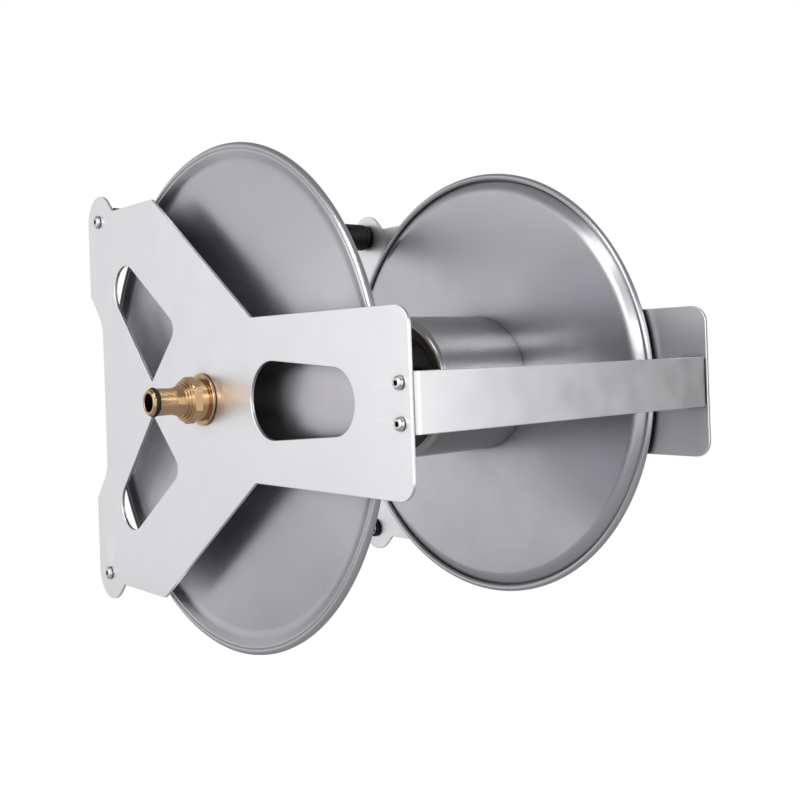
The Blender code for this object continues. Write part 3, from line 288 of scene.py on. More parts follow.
def sheet(start, end, edge, outlines):
    """Flat sheet across X with rounded edges: the first outline is its edge and the others are holes."""
    bm = bmesh.new()
    levels = [(start + edge * (1 - math.cos(a)), edge * (1 - math.sin(a))) for a in SHEET_EDGE_ANGLES]
    levels += [(start + end - x, depth) for x, depth in reversed(levels)]
    caps = ([], [])
    for number, outline in enumerate(outlines):
        loops = []
        for x, depth in levels:
            moved = inset(outline, depth if number == 0 else -depth)
            loops.append([bm.verts.new((x, a, b)) for a, b in moved])
        for low, high in zip(loops, loops[1:]):
            for i in range(len(low)):
                bm.faces.new((low[i - 1], low[i], high[i], high[i - 1]))
        for cap, loop in zip(caps, (loops[0], loops[-1])):
            cap += [bm.edges.get((loop[i - 1], loop[i])) for i in range(len(loop))]
    for cap in caps:
        bmesh.ops.triangle_fill(bm, edges=cap, use_beauty=True, normal=(1, 0, 0))
    bmesh.ops.recalc_face_normals(bm, faces=bm.faces)
    return bm


def turned(profile, steps=ROUND_STEPS):
    """Spin a closed outline of (x, radius) points around the X axis into a closed body."""
    bm = bmesh.new()
    points = [bm.verts.new((x, 0.0, radius)) for x, radius in profile]
    edges = [bm.edges.new((points[i - 1], points[i])) for i in range(len(points))
             if max(profile[i - 1][1], profile[i][1]) > 0.0]
    bmesh.ops.spin(bm, geom=points + edges, cent=(0, 0, 0), axis=(1, 0, 0), dvec=(0, 0, 0),
                   angle=2 * math.pi, steps=steps, use_merge=True, use_duplicate=False)
    bmesh.ops.remove_doubles(bm, verts=bm.verts, dist=MERGE_DISTANCE)
    bmesh.ops.recalc_face_normals(bm, faces=bm.faces)
    return bm


def rod(start, end, radius, steps=SMALL_STEPS):
    return turned([(start, 0.0), (start, radius), (end, radius), (end, 0.0)], steps)


def tube(start, end, inner, outer, edge):
    return turned(rounded([(start, inner, edge), (start, outer, edge), (end, outer, edge), (end, inner, edge)]))


def placed(bm, matrix):
    bmesh.ops.transform(bm, matrix=matrix, verts=bm.verts)
    return bm


def carve(bm, cutters, operation="DIFFERENCE"):
    """Cut the cutters out of a body, unite them with it or keep what they share, and give the new body."""
    mesh = bpy.data.meshes.new("body")
    bm.to_mesh(mesh)
    bm.free()
    body = bpy.data.objects.new("body", mesh)
    bpy.context.collection.objects.link(body)
    helpers = []
    for cutter in cutters:
        cutter_mesh = bpy.data.meshes.new("cutter")
        cutter.to_mesh(cutter_mesh)
        cutter.free()
        helper = bpy.data.objects.new("cutter", cutter_mesh)
        bpy.context.collection.objects.link(helper)
        modifier = body.modifiers.new("carve", "BOOLEAN")
        modifier.operation = operation
        modifier.solver = "EXACT"
        modifier.object = helper
        helpers.append(helper)
    bpy.context.view_layer.update()
    result = bmesh.new()
    result.from_object(body, bpy.context.evaluated_depsgraph_get())
    for item in [body] + helpers:
        bpy.data.objects.remove(item, do_unlink=True)
    return result


# ---------------------------------------------------------------- finishes

# Noise scales per metre: clouds of tone, smears of roughness, grain
METAL_CLOUDS, METAL_SMEARS, METAL_GRAIN = 22.0, 60.0, 2500.0
MOULDED_CLOUDS, MOULDED_SMEARS, MOULDED_GRAIN = 45.0, 90.0, 1500.0
METAL_SMEAR_SPREAD = 0.08    # share by which the roughness varies both ways
MOULDED_SMEAR_SPREAD = 0.12
MOULDED_GRAIN_DEPTH = 0.00002
MOULDED_SHADE_REACH = 0.02           # gaps up to this width lose their gloss, as painted shade
MOULDED_SHADE_RANGE = (0.35, 0.9)    # openness where the painted shade takes all gloss and where the gloss is full
METAL_PAINTED_SHADE_RANGE = (0.15, 0.80)     # openness where the painted shade is darkest and where metal has its full colour
PAINTED_SHADE_DARKEST = 0.06           # share of the metal's colour left in the deepest gap, as painted shade
GAP_SAMPLES = 4
WEAR_RANGE = (0.54, 0.62)    # pointiness where wear starts and where it is full
WORN_GAIN = 1.12             # metal on worn edges
QUARTER_TURN = 0.25          # turns mirror images from along X to around it


def start_material(name, roughness, metallic):
    material = bpy.data.materials.new(name)
    material.use_nodes = True
    tree = material.node_tree
    shader = tree.nodes["Principled BSDF"]
    shader.inputs["Roughness"].default_value = roughness
    shader.inputs["Metallic"].default_value = metallic
    return material, tree, shader


def add_noise(tree, scale, detail=3.0, vector=None):
    noise = tree.nodes.new("ShaderNodeTexNoise")
    noise.inputs["Scale"].default_value = scale
    noise.inputs["Detail"].default_value = detail
    if vector is None:
        vector = tree.nodes.new("ShaderNodeTexCoord").outputs["Object"]
    tree.links.new(vector, noise.inputs["Vector"])
    return noise.outputs["Fac"]


def add_range(tree, value, low, high, start=0.3, end=0.7):
    """Map a value between start and end, as noise mostly is, onto low and high, and hold it at these ends."""
    node = tree.nodes.new("ShaderNodeMapRange")
    node.inputs["From Min"].default_value = start
    node.inputs["From Max"].default_value = end
    node.inputs["To Min"].default_value = low
    node.inputs["To Max"].default_value = high
    tree.links.new(value, node.inputs["Value"])
    return node.outputs["Result"]


def add_switch(tree, flag, off, on):
    """One value where a flag is 0 and another where it is 1."""
    return add_range(tree, flag, off, on, 0.0, 1.0)


def add_mix(tree, factor, first, second):
    mix = tree.nodes.new("ShaderNodeMix")
    mix.data_type = "RGBA"
    tree.links.new(factor, mix.inputs["Factor"])
    for socket, colour in (("A", first), ("B", second)):
        target = next(item for item in mix.inputs if item.name == socket and item.type == "RGBA")
        if isinstance(colour, bpy.types.NodeSocket):
            tree.links.new(colour, target)
        else:
            target.default_value = (*colour, 1.0)
    return next(item for item in mix.outputs if item.type == "RGBA")


def add_bump(tree, shader, height, distance):
    bump = tree.nodes.new("ShaderNodeBump")
    bump.inputs["Distance"].default_value = distance
    bump.inputs["Strength"].default_value = 1.0
    tree.links.new(height, bump.inputs["Height"])
    tree.links.new(bump.outputs["Normal"], shader.inputs["Normal"])


def add_lathe_lines(tree, lines_per_metre):
    """One-dimensional noise that follows the tool round a turned part, along X and along the radius."""
    coordinates = tree.nodes.new("ShaderNodeTexCoord").outputs["Object"]
    noise = tree.nodes.new("ShaderNodeTexNoise")
    noise.noise_dimensions = "1D"
    noise.inputs["Scale"].default_value = lines_per_metre
    noise.inputs["Detail"].default_value = 2.0
    split = tree.nodes.new("ShaderNodeSeparateXYZ")
    tree.links.new(coordinates, split.inputs["Vector"])
    centre = tree.nodes.new("ShaderNodeMath")
    centre.operation = "ADD"
    centre.inputs[1].default_value = WALL_REACH
    tree.links.new(split.outputs["Y"], centre.inputs[0])
    across = tree.nodes.new("ShaderNodeCombineXYZ")
    tree.links.new(centre.outputs["Value"], across.inputs["X"])
    tree.links.new(split.outputs["Z"], across.inputs["Y"])
    radius = tree.nodes.new("ShaderNodeVectorMath")
    radius.operation = "LENGTH"
    tree.links.new(across.outputs["Vector"], radius.inputs[0])
    place = tree.nodes.new("ShaderNodeMath")
    place.operation = "ADD"
    tree.links.new(split.outputs["X"], place.inputs[0])
    tree.links.new(radius.outputs["Value"], place.inputs[1])
    tree.links.new(place.outputs["Value"], noise.inputs["W"])
    return noise.outputs["Fac"]


def add_edge_wear(tree, colour, worn):
    """Lighter metal where the surface turns sharply outwards."""
    point = tree.nodes.new("ShaderNodeNewGeometry").outputs["Pointiness"]
    edge = add_range(tree, point, 0.0, 1.0, *WEAR_RANGE)
    return add_mix(tree, edge, colour, worn)


def add_openness(tree, reach):
    """1 on open surfaces, falling towards 0 deep in gaps narrower than the reach."""
    gap = tree.nodes.new("ShaderNodeAmbientOcclusion")
    gap.samples = GAP_SAMPLES
    gap.inputs["Distance"].default_value = reach
    return gap.outputs["AO"]


def add_painted_gap_shade(tree, colour, reach, darkest):
    """Painted shade: darker metal deep in narrow gaps, where little light comes, taken from ambient occlusion."""
    shade = add_range(tree, add_openness(tree, reach), darkest, 1.0, *METAL_PAINTED_SHADE_RANGE)
    scale = tree.nodes.new("ShaderNodeVectorMath")
    scale.operation = "SCALE"
    tree.links.new(colour, scale.inputs[0])
    tree.links.new(shade, scale.inputs["Scale"])
    return scale.outputs["Vector"]


def add_smears(tree, shader, smear, roughness, spread):
    """Roughness that varies by a share both ways."""
    varied = add_range(tree, smear, roughness * (1 - spread), roughness * (1 + spread))
    tree.links.new(varied, shader.inputs["Roughness"])


def metal(name, colour, roughness, cloud=0.03, lathe=None, grain_depth=0.000004, spun=0.0, gap=0.0):
    """Metal with soft clouds of tone and fine grain.

    A lathe value gives tool lines per metre instead of grain, spun stretches mirror images around the X axis as
    on turned sheet, and gap is the width of the gaps whose colour is darkened as painted shade.
    """
    material, tree, shader = start_material(name, roughness, 1.0)
    if spun > 0.0:
        shader.inputs["Anisotropic"].default_value = spun
        shader.inputs["Anisotropic Rotation"].default_value = QUARTER_TURN
        tangent = tree.nodes.new("ShaderNodeTangent")
        tangent.direction_type = "RADIAL"
        tangent.axis = "X"
        tree.links.new(tangent.outputs["Tangent"], shader.inputs["Tangent"])
    clouds = add_noise(tree, METAL_CLOUDS, 4.0)
    darker = tuple(c * (1 - cloud) for c in colour)
    lighter = tuple(min(1.0, c * (1 + cloud)) for c in colour)
    tone = add_mix(tree, add_range(tree, clouds, 0.0, 1.0), darker, lighter)
    worn = tuple(min(1.0, c * WORN_GAIN) for c in colour)
    tone = add_edge_wear(tree, tone, worn)
    # painted shade: the colour is darkened in gaps narrower than gap
    if gap > 0.0:
        tone = add_painted_gap_shade(tree, tone, gap, PAINTED_SHADE_DARKEST)
    tree.links.new(tone, shader.inputs["Base Color"])
    add_smears(tree, shader, add_noise(tree, METAL_SMEARS, 5.0), roughness, METAL_SMEAR_SPREAD)
    height = add_noise(tree, METAL_GRAIN, 2.0) if lathe is None else add_lathe_lines(tree, lathe)
    add_bump(tree, shader, height, grain_depth)
    return material


def moulded(name, colour, roughness, cloud=0.25, gloss=0.5):
    """Rubber or plastic with moulded grain, slight dust, and painted shade that takes the gloss away deep in gaps.
    """
    material, tree, shader = start_material(name, roughness, 0.0)
    # painted shade: the gloss fades in narrow gaps, measured by ambient occlusion
    tree.links.new(add_range(tree, add_openness(tree, MOULDED_SHADE_REACH), 0.0, gloss, *MOULDED_SHADE_RANGE),
                   shader.inputs["Specular IOR Level"])
    clouds = add_noise(tree, MOULDED_CLOUDS, 5.0)
    darker = tuple(c * (1 - cloud) for c in colour)
    lighter = tuple(c * (1 + cloud) for c in colour)
    tone = add_mix(tree, add_range(tree, clouds, 0.0, 1.0), darker, lighter)
    tree.links.new(tone, shader.inputs["Base Color"])
    add_smears(tree, shader, add_noise(tree, MOULDED_SMEARS, 4.0), roughness, MOULDED_SMEAR_SPREAD)
    add_bump(tree, shader, add_noise(tree, MOULDED_GRAIN, 3.0), MOULDED_GRAIN_DEPTH)
    return material


# a gap value gives a metal painted shade in its narrow gaps
FINISHES = {
    "aluminium": metal("satin_aluminium", (0.882, 0.88, 0.902), 0.36, cloud=0.012, gap=0.011),
    "satin_steel": metal("satin_steel", (0.567, 0.56, 0.592), 0.30, gap=0.032, spun=0.7),
    "bright_steel": metal("bright_steel", (0.72, 0.72, 0.73), 0.24, gap=0.003),
    "brass": metal("turned_brass", (0.60, 0.40, 0.215), 0.17, lathe=5200.0, grain_depth=0.000005, gap=0.0025),
    "black_rubber": moulded("black_rubber", (0.006, 0.006, 0.007), 0.42, gloss=0.30),
    "black_plastic": moulded("black_plastic", (0.006, 0.006, 0.007), 0.30, gloss=0.4),
    "white_plastic": moulded("white_plastic", (0.72, 0.71, 0.68), 0.45, cloud=0.04),
}
# drawn steel of the drums, also with painted shade in narrow gaps
DRAWN_STEEL = metal("drawn_steel", (0.42, 0.42, 0.425), 0.24, gap=0.004, spun=0.5)


def dress(node, bm, edge=0.0, finish=None):
    """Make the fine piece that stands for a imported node, with its finish."""
    mesh = bpy.data.meshes.new(node + "_fine")
    bm.to_mesh(mesh)
    bm.free()
    mesh.shade_smooth()
    mesh.set_sharp_from_angle(angle=SHARP_ANGLE)
    mesh.materials.append(finish or FINISHES[SLOT_OF[node]])
    piece = bpy.data.objects.new(node + "_fine", mesh)
    bpy.context.collection.objects.link(piece)
    if edge > 0.0:
        bevel = piece.modifiers.new("edge", "BEVEL")
        bevel.width = edge
        bevel.segments = 2
        bevel.limit_method = "ANGLE"
        bevel.angle_limit = SHARP_ANGLE
        bevel.use_clamp_overlap = True
    shading = piece.modifiers.new("shading", "WEIGHTED_NORMAL")
    shading.keep_sharp = edge == 0.0
    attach(piece, BODY_OF[node])
    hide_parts(node)


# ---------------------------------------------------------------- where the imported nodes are

def span(node):
    """Start and end along X, and the middle across it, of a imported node."""
    low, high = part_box(node)
    return low.x, high.x, Matrix.Translation((0.0, (low.y + high.y) / 2, (low.z + high.z) / 2))


def outer_radius(node):
    low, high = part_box(node)
    return (high.z - low.z) / 2


AXIS = Matrix.Translation((0.0, -WALL_REACH, 0.0))


# ---------------------------------------------------------------- pieces

def screw_body(start, end, side, shank_radius, head_radius, head_height, socket_radius):
    """Button-head screw along X with a domed head towards side and a hexagon socket."""
    tip, top = (start, end) if side > 0 else (end, start)
    seat = top - side * head_height
    straight = HEAD_EDGE_SHARE * head_height
    dome = [(seat + side * (straight + (head_height - straight) * math.sin(a)),
             head_radius * (HEAD_TOP_SHARE + (1 - HEAD_TOP_SHARE) * math.cos(a))) for a in QUARTER_ANGLES]
    chamfer = TIP_CHAMFER_SHARE * shank_radius
    profile = [(tip, 0.0), (tip, shank_radius - chamfer), (tip + side * chamfer, shank_radius),
               (seat, shank_radius), (seat, head_radius), *dome, (top, 0.0)]
    body = turned(profile, SMALL_STEPS)
    floor = seat - side * SOCKET_DEPTH_SHARE * shank_radius
    return carve(body, [rod(*sorted((floor, top + side * head_height)), socket_radius, HEXAGON)])


def add_screw(node, side, kind):
    shank_radius, head_height, socket_radius = kind
    start, end, place = span(node)
    body = screw_body(start, end, side, shank_radius, outer_radius(node), head_height, socket_radius)
    dress(node, placed(body, place), FASTENER_EDGE)


def add_nut(node, bore_radius):
    """Hexagon nut with turned corners."""
    start, end, place = span(node)
    corner = outer_radius(node)
    ring = NUT_FACE_SHARE * corner * math.cos(math.pi / 6)
    fall = (corner - ring) * math.tan(NUT_FACE_ANGLE)
    body = turned([(start, bore_radius), (start, ring), (start + fall, corner),
                   (end - fall, corner), (end, ring), (end, bore_radius)], SMALL_STEPS)
    prism = rod(start - fall, end + fall, corner, HEXAGON)
    dress(node, placed(carve(body, [prism], "INTERSECT"), place), FASTENER_EDGE)


def plate_outline():
    """Outer edge of a side plate, anticlockwise seen from +X."""
    ear_apex = SHOULDER_HEIGHT + EAR_WIDTH * math.tan(EAR_FLANK_ANGLE)
    recess_height = RECESS_KINK_HEIGHT - RECESS_DEPTH * math.tan(RECESS_ANGLE)
    upper = [
        (WALL_REACH - RECESS_DEPTH, recess_height, RECESS_RADIUS),
        (WALL_REACH, RECESS_KINK_HEIGHT, SMALL_RADIUS),
        (WALL_REACH, ear_apex, EAR_RADIUS),
        (WALL_REACH - EAR_WIDTH, SHOULDER_HEIGHT, SMALL_RADIUS),
        (SHOULDER_REACH, SHOULDER_HEIGHT, SHOULDER_RADIUS),
        (-CROTCH_REACH, ARM_HALF_HEIGHT, CROTCH_RADIUS),
        (-FRONT_REACH, ARM_HALF_HEIGHT, ARM_CORNER_RADIUS),
    ]
    return rounded(upper + [(y, -z, radius) for y, z, radius in reversed(upper)])


def plate_openings():
    slot_front = -FRONT_REACH + SLOT_INSET
    slot = wrapped([(slot_front, 0.0, SLOT_FRONT_RADIUS), (slot_front + SLOT_SPAN, 0.0, SLOT_REAR_RADIUS)])
    drop = wrapped([(*DROP_TIP, SMALL_RADIUS), (*DROP_END, DROP_END_RADIUS), (*DROP_SHOULDER, DROP_SHOULDER_RADIUS)])
    openings = [slot, drop, [(y, -z) for y, z in drop], circle(0.0, 0.0, PLATE_BORE_RADIUS, ROUND_STEPS)]
    for node, radius in (("upper_rod_screw_right", EAR_BOLT_RADIUS), ("lower_ear_bolt_right", EAR_BOLT_RADIUS),
                         ("front_bar_screw_right_upper", BAR_BOLT_RADIUS),
                         ("front_bar_screw_right_lower", BAR_BOLT_RADIUS)):
        centre = span(node)[2].translation
        openings.append(circle(centre.y + WALL_REACH, centre.z, radius + HOLE_CLEARANCE))
    return openings


def add_side_plates():
    for side_name, _ in SIDES:
        node = side_name + "_side_plate"
        low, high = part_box(node)
        dress(node, placed(sheet(low.x, high.x, PLATE_EDGE, [plate_outline()] + plate_openings()), AXIS))


def add_front_bar():
    """Flat bar with bent ends; its outline lies in the X-Y plane and is drawn out along Z."""
    low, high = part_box("front_bar")
    inner_radius = BAR_BEND_RADIUS - BAR_THICKNESS
    right = [(high.x, high.y, BAR_EDGE), (high.x, low.y, BAR_BEND_RADIUS)]
    right_inner = [(high.x - BAR_THICKNESS, low.y + BAR_THICKNESS, inner_radius),
                   (high.x - BAR_THICKNESS, high.y, BAR_EDGE)]
    left = [(-x, y, radius) for x, y, radius in reversed(right)]
    left_inner = [(-x, y, radius) for x, y, radius in reversed(right_inner)]
    outline = rounded(right + left + left_inner + right_inner)
    upright = Matrix(((0, 1, 0, 0), (0, 0, 1, 0), (1, 0, 0, 0), (0, 0, 0, 1)))   # the sheet's X becomes Z
    body = placed(sheet(low.z, high.z, BAR_EDGE, [outline]), upright)
    drills = []
    for side_name, side in SIDES:
        for level in ("lower", "upper"):
            place = span(f"front_bar_screw_{side_name}_{level}")[2]
            ends = sorted((side * (high.x - 2 * BAR_THICKNESS), side * (high.x + BAR_THICKNESS)))
            drills.append(placed(rod(*ends, BAR_BOLT_RADIUS + HOLE_CLEARANCE), place))
    dress("front_bar", carve(body, drills))
    for side_name, side in SIDES:
        for level in ("lower", "upper"):
            add_screw(f"front_bar_screw_{side_name}_{level}", side, BAR_SCREW)
            add_nut(f"front_bar_nut_{side_name}_{level}", BAR_BOLT_RADIUS + HOLE_CLEARANCE)


def add_sleeve():
    """Black sleeve with fine rings along its whole length."""
    start, end, place = span("upper_rod_sleeve")
    radius = outer_radius("upper_rod_sleeve")
    ribbed_start = start + SLEEVE_END_RADIUS
    count = round((end - start - 2 * SLEEVE_END_RADIUS) / RIB_PITCH)
    pitch = (end - start - 2 * SLEEVE_END_RADIUS) / count
    crest = []
    for i in range(count * RIB_STEPS + 1):
        wave = abs(math.sin(math.pi * i / RIB_STEPS))
        crest.append((ribbed_start + i * pitch / RIB_STEPS, radius - RIB_DEPTH * (1 - wave)))
    rim = radius - RIB_DEPTH - SLEEVE_END_RADIUS
    first = arc((ribbed_start, rim), SLEEVE_END_RADIUS, math.pi, math.pi / 2)
    last = arc((end - SLEEVE_END_RADIUS, rim), SLEEVE_END_RADIUS, math.pi / 2, 0.0)
    bore = ROD_RADIUS + HOLE_CLEARANCE
    profile = [(start, bore), *first[:-1], *crest, *last[1:], (end, bore)]
    dress("upper_rod_sleeve", placed(turned(profile, SLEEVE_STEPS), place))
    for side_name, side in SIDES:
        add_screw("upper_rod_screw_" + side_name, side, EAR_SCREW)


def add_ring(node, bore_radius, edge):
    """Washer or bush with rounded edges."""
    start, end, place = span(node)
    dress(node, placed(tube(start, end, bore_radius, outer_radius(node), edge), place))


def add_lower_ears():
    bore = EAR_BOLT_RADIUS + HOLE_CLEARANCE
    for side_name, side in SIDES:
        add_screw("lower_ear_bolt_" + side_name, side, EAR_SCREW)
        add_nut("lower_ear_nut_" + side_name, bore)
        add_ring("lower_ear_washer_" + side_name, bore, EAR_WASHER_EDGE)
        add_ring("lower_ear_bush_" + side_name, bore, EAR_BUSH_EDGE)


def disc_profile(web, side, radius):
    """Section of a stamped disc: flat web, rounded outward step, land and rolled edge."""
    bore = AXLE_RADIUS + HOLE_CLEARANCE
    land = radius - LAND_WIDTH
    flat = land - RIM_WIDTH
    hold = flat - RIM_RING_MARGIN
    screw_ring = HUB_BOLT_CIRCLE + SCREW_RING_MARGIN
    bead_centre = (radius - BEAD_RADIUS, RIM_STEP - BEAD_RADIUS)
    inner_rise = RIM_STEP - DISC_THICKNESS
    join = math.pi - math.asin((inner_rise - bead_centre[1]) / BEAD_RADIUS)
    bead = arc(bead_centre, BEAD_RADIUS, BEAD_START, join - 2 * math.pi, BEAD_STEP)
    nick = (bead[0][0] - BEAD_GROOVE_WIDTH, RIM_STEP - BEAD_GROOVE)
    outer = rounded([(bore, 0.0, 0.0), (screw_ring, 0.0, 0.0), (hold, 0.0, 0.0), (flat, 0.0, RIM_FOOT_RADIUS),
                     (land, RIM_STEP, LAND_CORNER_RADIUS), (*nick, 0.0)])
    inner = rounded([(land, inner_rise, LAND_INNER_RADIUS), (flat, -DISC_THICKNESS, RIM_FOOT_RADIUS),
                     (hold, -DISC_THICKNESS, 0.0), (screw_ring, -DISC_THICKNESS, 0.0),
                     (bore, -DISC_THICKNESS, 0.0), (bore, inner_rise, 0.0)])[:-1]
    return [(web + side * rise, r) for r, rise in outer + bead + inner]


def add_disc(node, side, hub_screws):
    low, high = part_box(node)
    web = (low.x + RIM_STEP) if side < 0 else (high.x - RIM_STEP)
    drills = []
    for screw in hub_screws:
        drill = rod(web - HUB_DRILL_REACH, web + HUB_DRILL_REACH, HUB_BOLT_RADIUS + HOLE_CLEARANCE)
        drills.append(placed(drill, span(screw)[2]))
    body = placed(turned(disc_profile(web, side, outer_radius(node)), DISC_STEPS), AXIS)
    dress(node, carve(body, drills))


def add_drum(node, side):
    """Tube whose free end is turned inwards."""
    start, end, place = span(node)
    radius = outer_radius(node)
    free, seat = (end, start) if side < 0 else (start, end)
    lip, lip_inner = ([(free + side * (DRUM_LIP - (DRUM_LIP - wall) * math.cos(a)),
                        radius - DRUM_LIP + (DRUM_LIP - wall) * math.sin(a)) for a in QUARTER_ANGLES]
                      for wall in (0.0, DRUM_WALL))
    touch = seat + side * HOLE_CLEARANCE
    body = turned([*lip, (touch, radius), (touch, radius - DRUM_WALL), *reversed(lip_inner)], DRUM_STEPS)
    dress(node, placed(body, place), finish=DRAWN_STEEL)


def add_drum_cap(node, side):
    """Black dished cap in the free end of a drum half."""
    start, end, place = span(node)
    rim = outer_radius(node)
    face, back = (end, start) if side < 0 else (start, end)
    depth = abs(back - face)
    face_radius = rim - CAP_FACE_WIDTH
    dish = face_radius - CAP_BEVEL_WIDTH
    bore = AXLE_RADIUS + HOLE_CLEARANCE
    corners = [
        (0.0, rim, CAP_RIM_EDGE),
        (0.0, face_radius, CAP_BEVEL_EDGE),
        (CAP_BEVEL_DEPTH, dish, CAP_BEVEL_EDGE),
        (depth - CAP_WALL, dish, CAP_FLOOR_RADIUS),
        (depth - CAP_WALL, bore, 0.0),
        (depth, bore, 0.0),
        (depth, dish + CAP_WALL, CAP_BACK_RADIUS),
        (CAP_BEVEL_DEPTH + CAP_WALL / 2, dish + CAP_WALL, CAP_BACK_EDGE),
        (CAP_WALL, face_radius + CAP_WALL / 2, CAP_BACK_EDGE),
        (CAP_WALL, rim - CAP_WALL, 0.0),
        (depth, rim - CAP_WALL, 0.0),
        (depth, rim, 0.0),
    ]
    profile = [(face + side * x, r) for x, r in rounded(corners)]
    dress(node, placed(turned(profile, DRUM_STEPS), place))


def add_drum_half(label, side):
    hub_screws = [f"{label}_hub_screw_{i + 1}" for i in range(HUB_BOLT_COUNT)]
    add_disc(label + "_disc", side, hub_screws)
    for screw in hub_screws:
        add_screw(screw, side, HUB_SCREW)
    add_drum(label + "_drum", side)
    add_drum_cap(label + "_drum_cap", side)


def inlet_profile(start, end, face):
    """Section of the inlet: flange, barrel, stepped face, flared neck, nozzle with its groove, and the bore."""
    nozzle_length = face - start
    steps_end = INLET_HEX_END + INLET_STEP_COUNT * INLET_STEP_LENGTH
    groove_end = nozzle_length - NOZZLE_GROOVE_INSET
    groove_start = groove_end - NOZZLE_GROOVE_WIDTH
    shank = PLATE_BORE_RADIUS - HOLE_CLEARANCE
    nut_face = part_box("inlet_locknut")[1].x
    outside = [
        (nozzle_length, NOZZLE_BORE_RADIUS, NOZZLE_EDGE),
        (nozzle_length, NOZZLE_RADIUS - NOZZLE_CHAMFER, NOZZLE_EDGE),
        (nozzle_length - NOZZLE_CHAMFER, NOZZLE_RADIUS, NOZZLE_EDGE),
        (groove_end, NOZZLE_RADIUS, GROOVE_EDGE),
        (groove_end, NOZZLE_GROOVE_RADIUS, GROOVE_EDGE),
        (groove_start, NOZZLE_GROOVE_RADIUS, GROOVE_EDGE),
        (groove_start, NOZZLE_RADIUS, GROOVE_EDGE),
        (steps_end + NOZZLE_TAPER_LENGTH, NOZZLE_RADIUS, NOZZLE_FLARE_RADIUS),
        (steps_end, NOZZLE_ROOT_RADIUS, STEP_EDGE),
    ]
    for i in reversed(range(INLET_STEP_COUNT)):
        step_start = INLET_HEX_END + i * INLET_STEP_LENGTH
        step_radius = INLET_STEP_RADIUS - i * INLET_STEP_DROP
        outside += [(step_start + INLET_STEP_LENGTH, step_radius, STEP_EDGE), (step_start, step_radius, STEP_EDGE)]
    outside += [
        (INLET_HEX_END, INLET_HEX_FACE_SHARE * INLET_TURNED_RADIUS, STEP_EDGE),
        (INLET_HEX_END - INLET_HEX_CHAMFER, INLET_TURNED_RADIUS, 0.0),
        (INLET_BARREL_END, INLET_TURNED_RADIUS, 0.0),
        (INLET_BARREL_END, INLET_BARREL_RADIUS, STEP_EDGE),
        (INLET_FLANGE_THICKNESS, INLET_BARREL_RADIUS, STEP_EDGE),
        (INLET_FLANGE_THICKNESS, outer_radius("water_inlet"), FLANGE_EDGE),
        (HOLE_CLEARANCE, outer_radius("water_inlet"), NOZZLE_EDGE),
        (HOLE_CLEARANCE, shank, 0.0),
    ]
    inside = [
        (nut_face, shank, 0.0),
        (nut_face, SPIGOT_RADIUS, 0.0),
        (end, SPIGOT_RADIUS, 0.0),
        (end, SPIGOT_BORE_RADIUS, 0.0),
        (nut_face, SPIGOT_BORE_RADIUS, 0.0),
        (face, NOZZLE_BORE_RADIUS, 0.0),
    ]
    return rounded([(face - distance, r, soft) for distance, r, soft in outside] + inside)


def add_inlet():
    """Brass inlet with its hexagon, nozzle seal and lock nut."""
    low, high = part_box("water_inlet")
    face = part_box("left_side_plate")[0].x
    body = turned(inlet_profile(low.x, high.x, face))
    length = INLET_HEX_END - INLET_BARREL_END + 2 * HOLE_CLEARANCE
    middle = face - (INLET_BARREL_END + INLET_HEX_END) / 2
    flat_distance = INLET_HEX_RADIUS * math.cos(math.pi / 6)
    flats = []
    for i in range(HEXAGON):
        block = bmesh.new()
        bmesh.ops.create_cube(block, size=1.0)
        bmesh.ops.scale(block, verts=block.verts, vec=(length, 2 * INLET_TURNED_RADIUS, INLET_TURNED_RADIUS))
        bmesh.ops.translate(block, verts=block.verts, vec=(middle, 0.0, flat_distance + INLET_TURNED_RADIUS / 2))
        flats.append(placed(block, Matrix.Rotation(math.pi / 6 + i * math.pi / 3, 4, "X")))
    dress("water_inlet", placed(carve(body, flats), AXIS))

    low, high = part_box("nozzle_seal")
    section = (high.x - low.x) / 2
    middle = (low.x + high.x) / 2
    ring = turned(circle(middle, NOZZLE_GROOVE_RADIUS + HOLE_CLEARANCE + section, section, SEAL_STEPS))
    dress("nozzle_seal", placed(ring, AXIS))
    add_nut("inlet_locknut", PLATE_BORE_RADIUS)


def add_crank():
    low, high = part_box("crank_arm")
    pin = span("crank_grip_pin")[2].translation
    outline = wrapped([(0.0, pin.z, CRANK_END_RADIUS), (0.0, 0.0, CRANK_HUB_RADIUS)])
    half = CRANK_SQUARE / 2 + HOLE_CLEARANCE
    square = rounded([(a * half, b * half, CRANK_SQUARE_CORNER) for a, b in ((1, 1), (-1, 1), (-1, -1), (1, -1))])
    pin_hole = circle(0.0, pin.z, GRIP_PIN_RADIUS + HOLE_CLEARANCE)
    dress("crank_arm", placed(sheet(low.x, high.x, CRANK_EDGE, [outline, square, pin_hole]), AXIS))
    add_ring("crank_washer", CRANK_SCREW_RADIUS + HOLE_CLEARANCE, CRANK_WASHER_EDGE)
    add_screw("crank_screw", 1, CRANK_SCREW)
    add_screw("crank_grip_pin", 1, GRIP_PIN)
    add_nut("crank_grip_nut", GRIP_PIN_RADIUS + HOLE_CLEARANCE)


def add_grip():
    """Crank grip, thicker in the middle, with rounded ends."""
    start, end, place = span("crank_grip")
    belly = outer_radius("crank_grip")
    bore = GRIP_PIN_RADIUS + HOLE_CLEARANCE
    length = end - start - 2 * GRIP_EDGE
    swell = [(start + GRIP_EDGE + length * i / GRIP_STEPS,
              GRIP_END_RADIUS + (belly - GRIP_END_RADIUS) * math.sin(math.pi * i / GRIP_STEPS))
             for i in range(GRIP_STEPS + 1)]
    first = arc((start + GRIP_EDGE, GRIP_END_RADIUS - GRIP_EDGE), GRIP_EDGE, math.pi, math.pi / 2)
    last = arc((end - GRIP_EDGE, GRIP_END_RADIUS - GRIP_EDGE), GRIP_EDGE, math.pi / 2, 0.0)
    profile = [(start, bore), *first[:-1], *swell, *last[1:], (end, bore)]
    dress("crank_grip", placed(turned(profile), place))


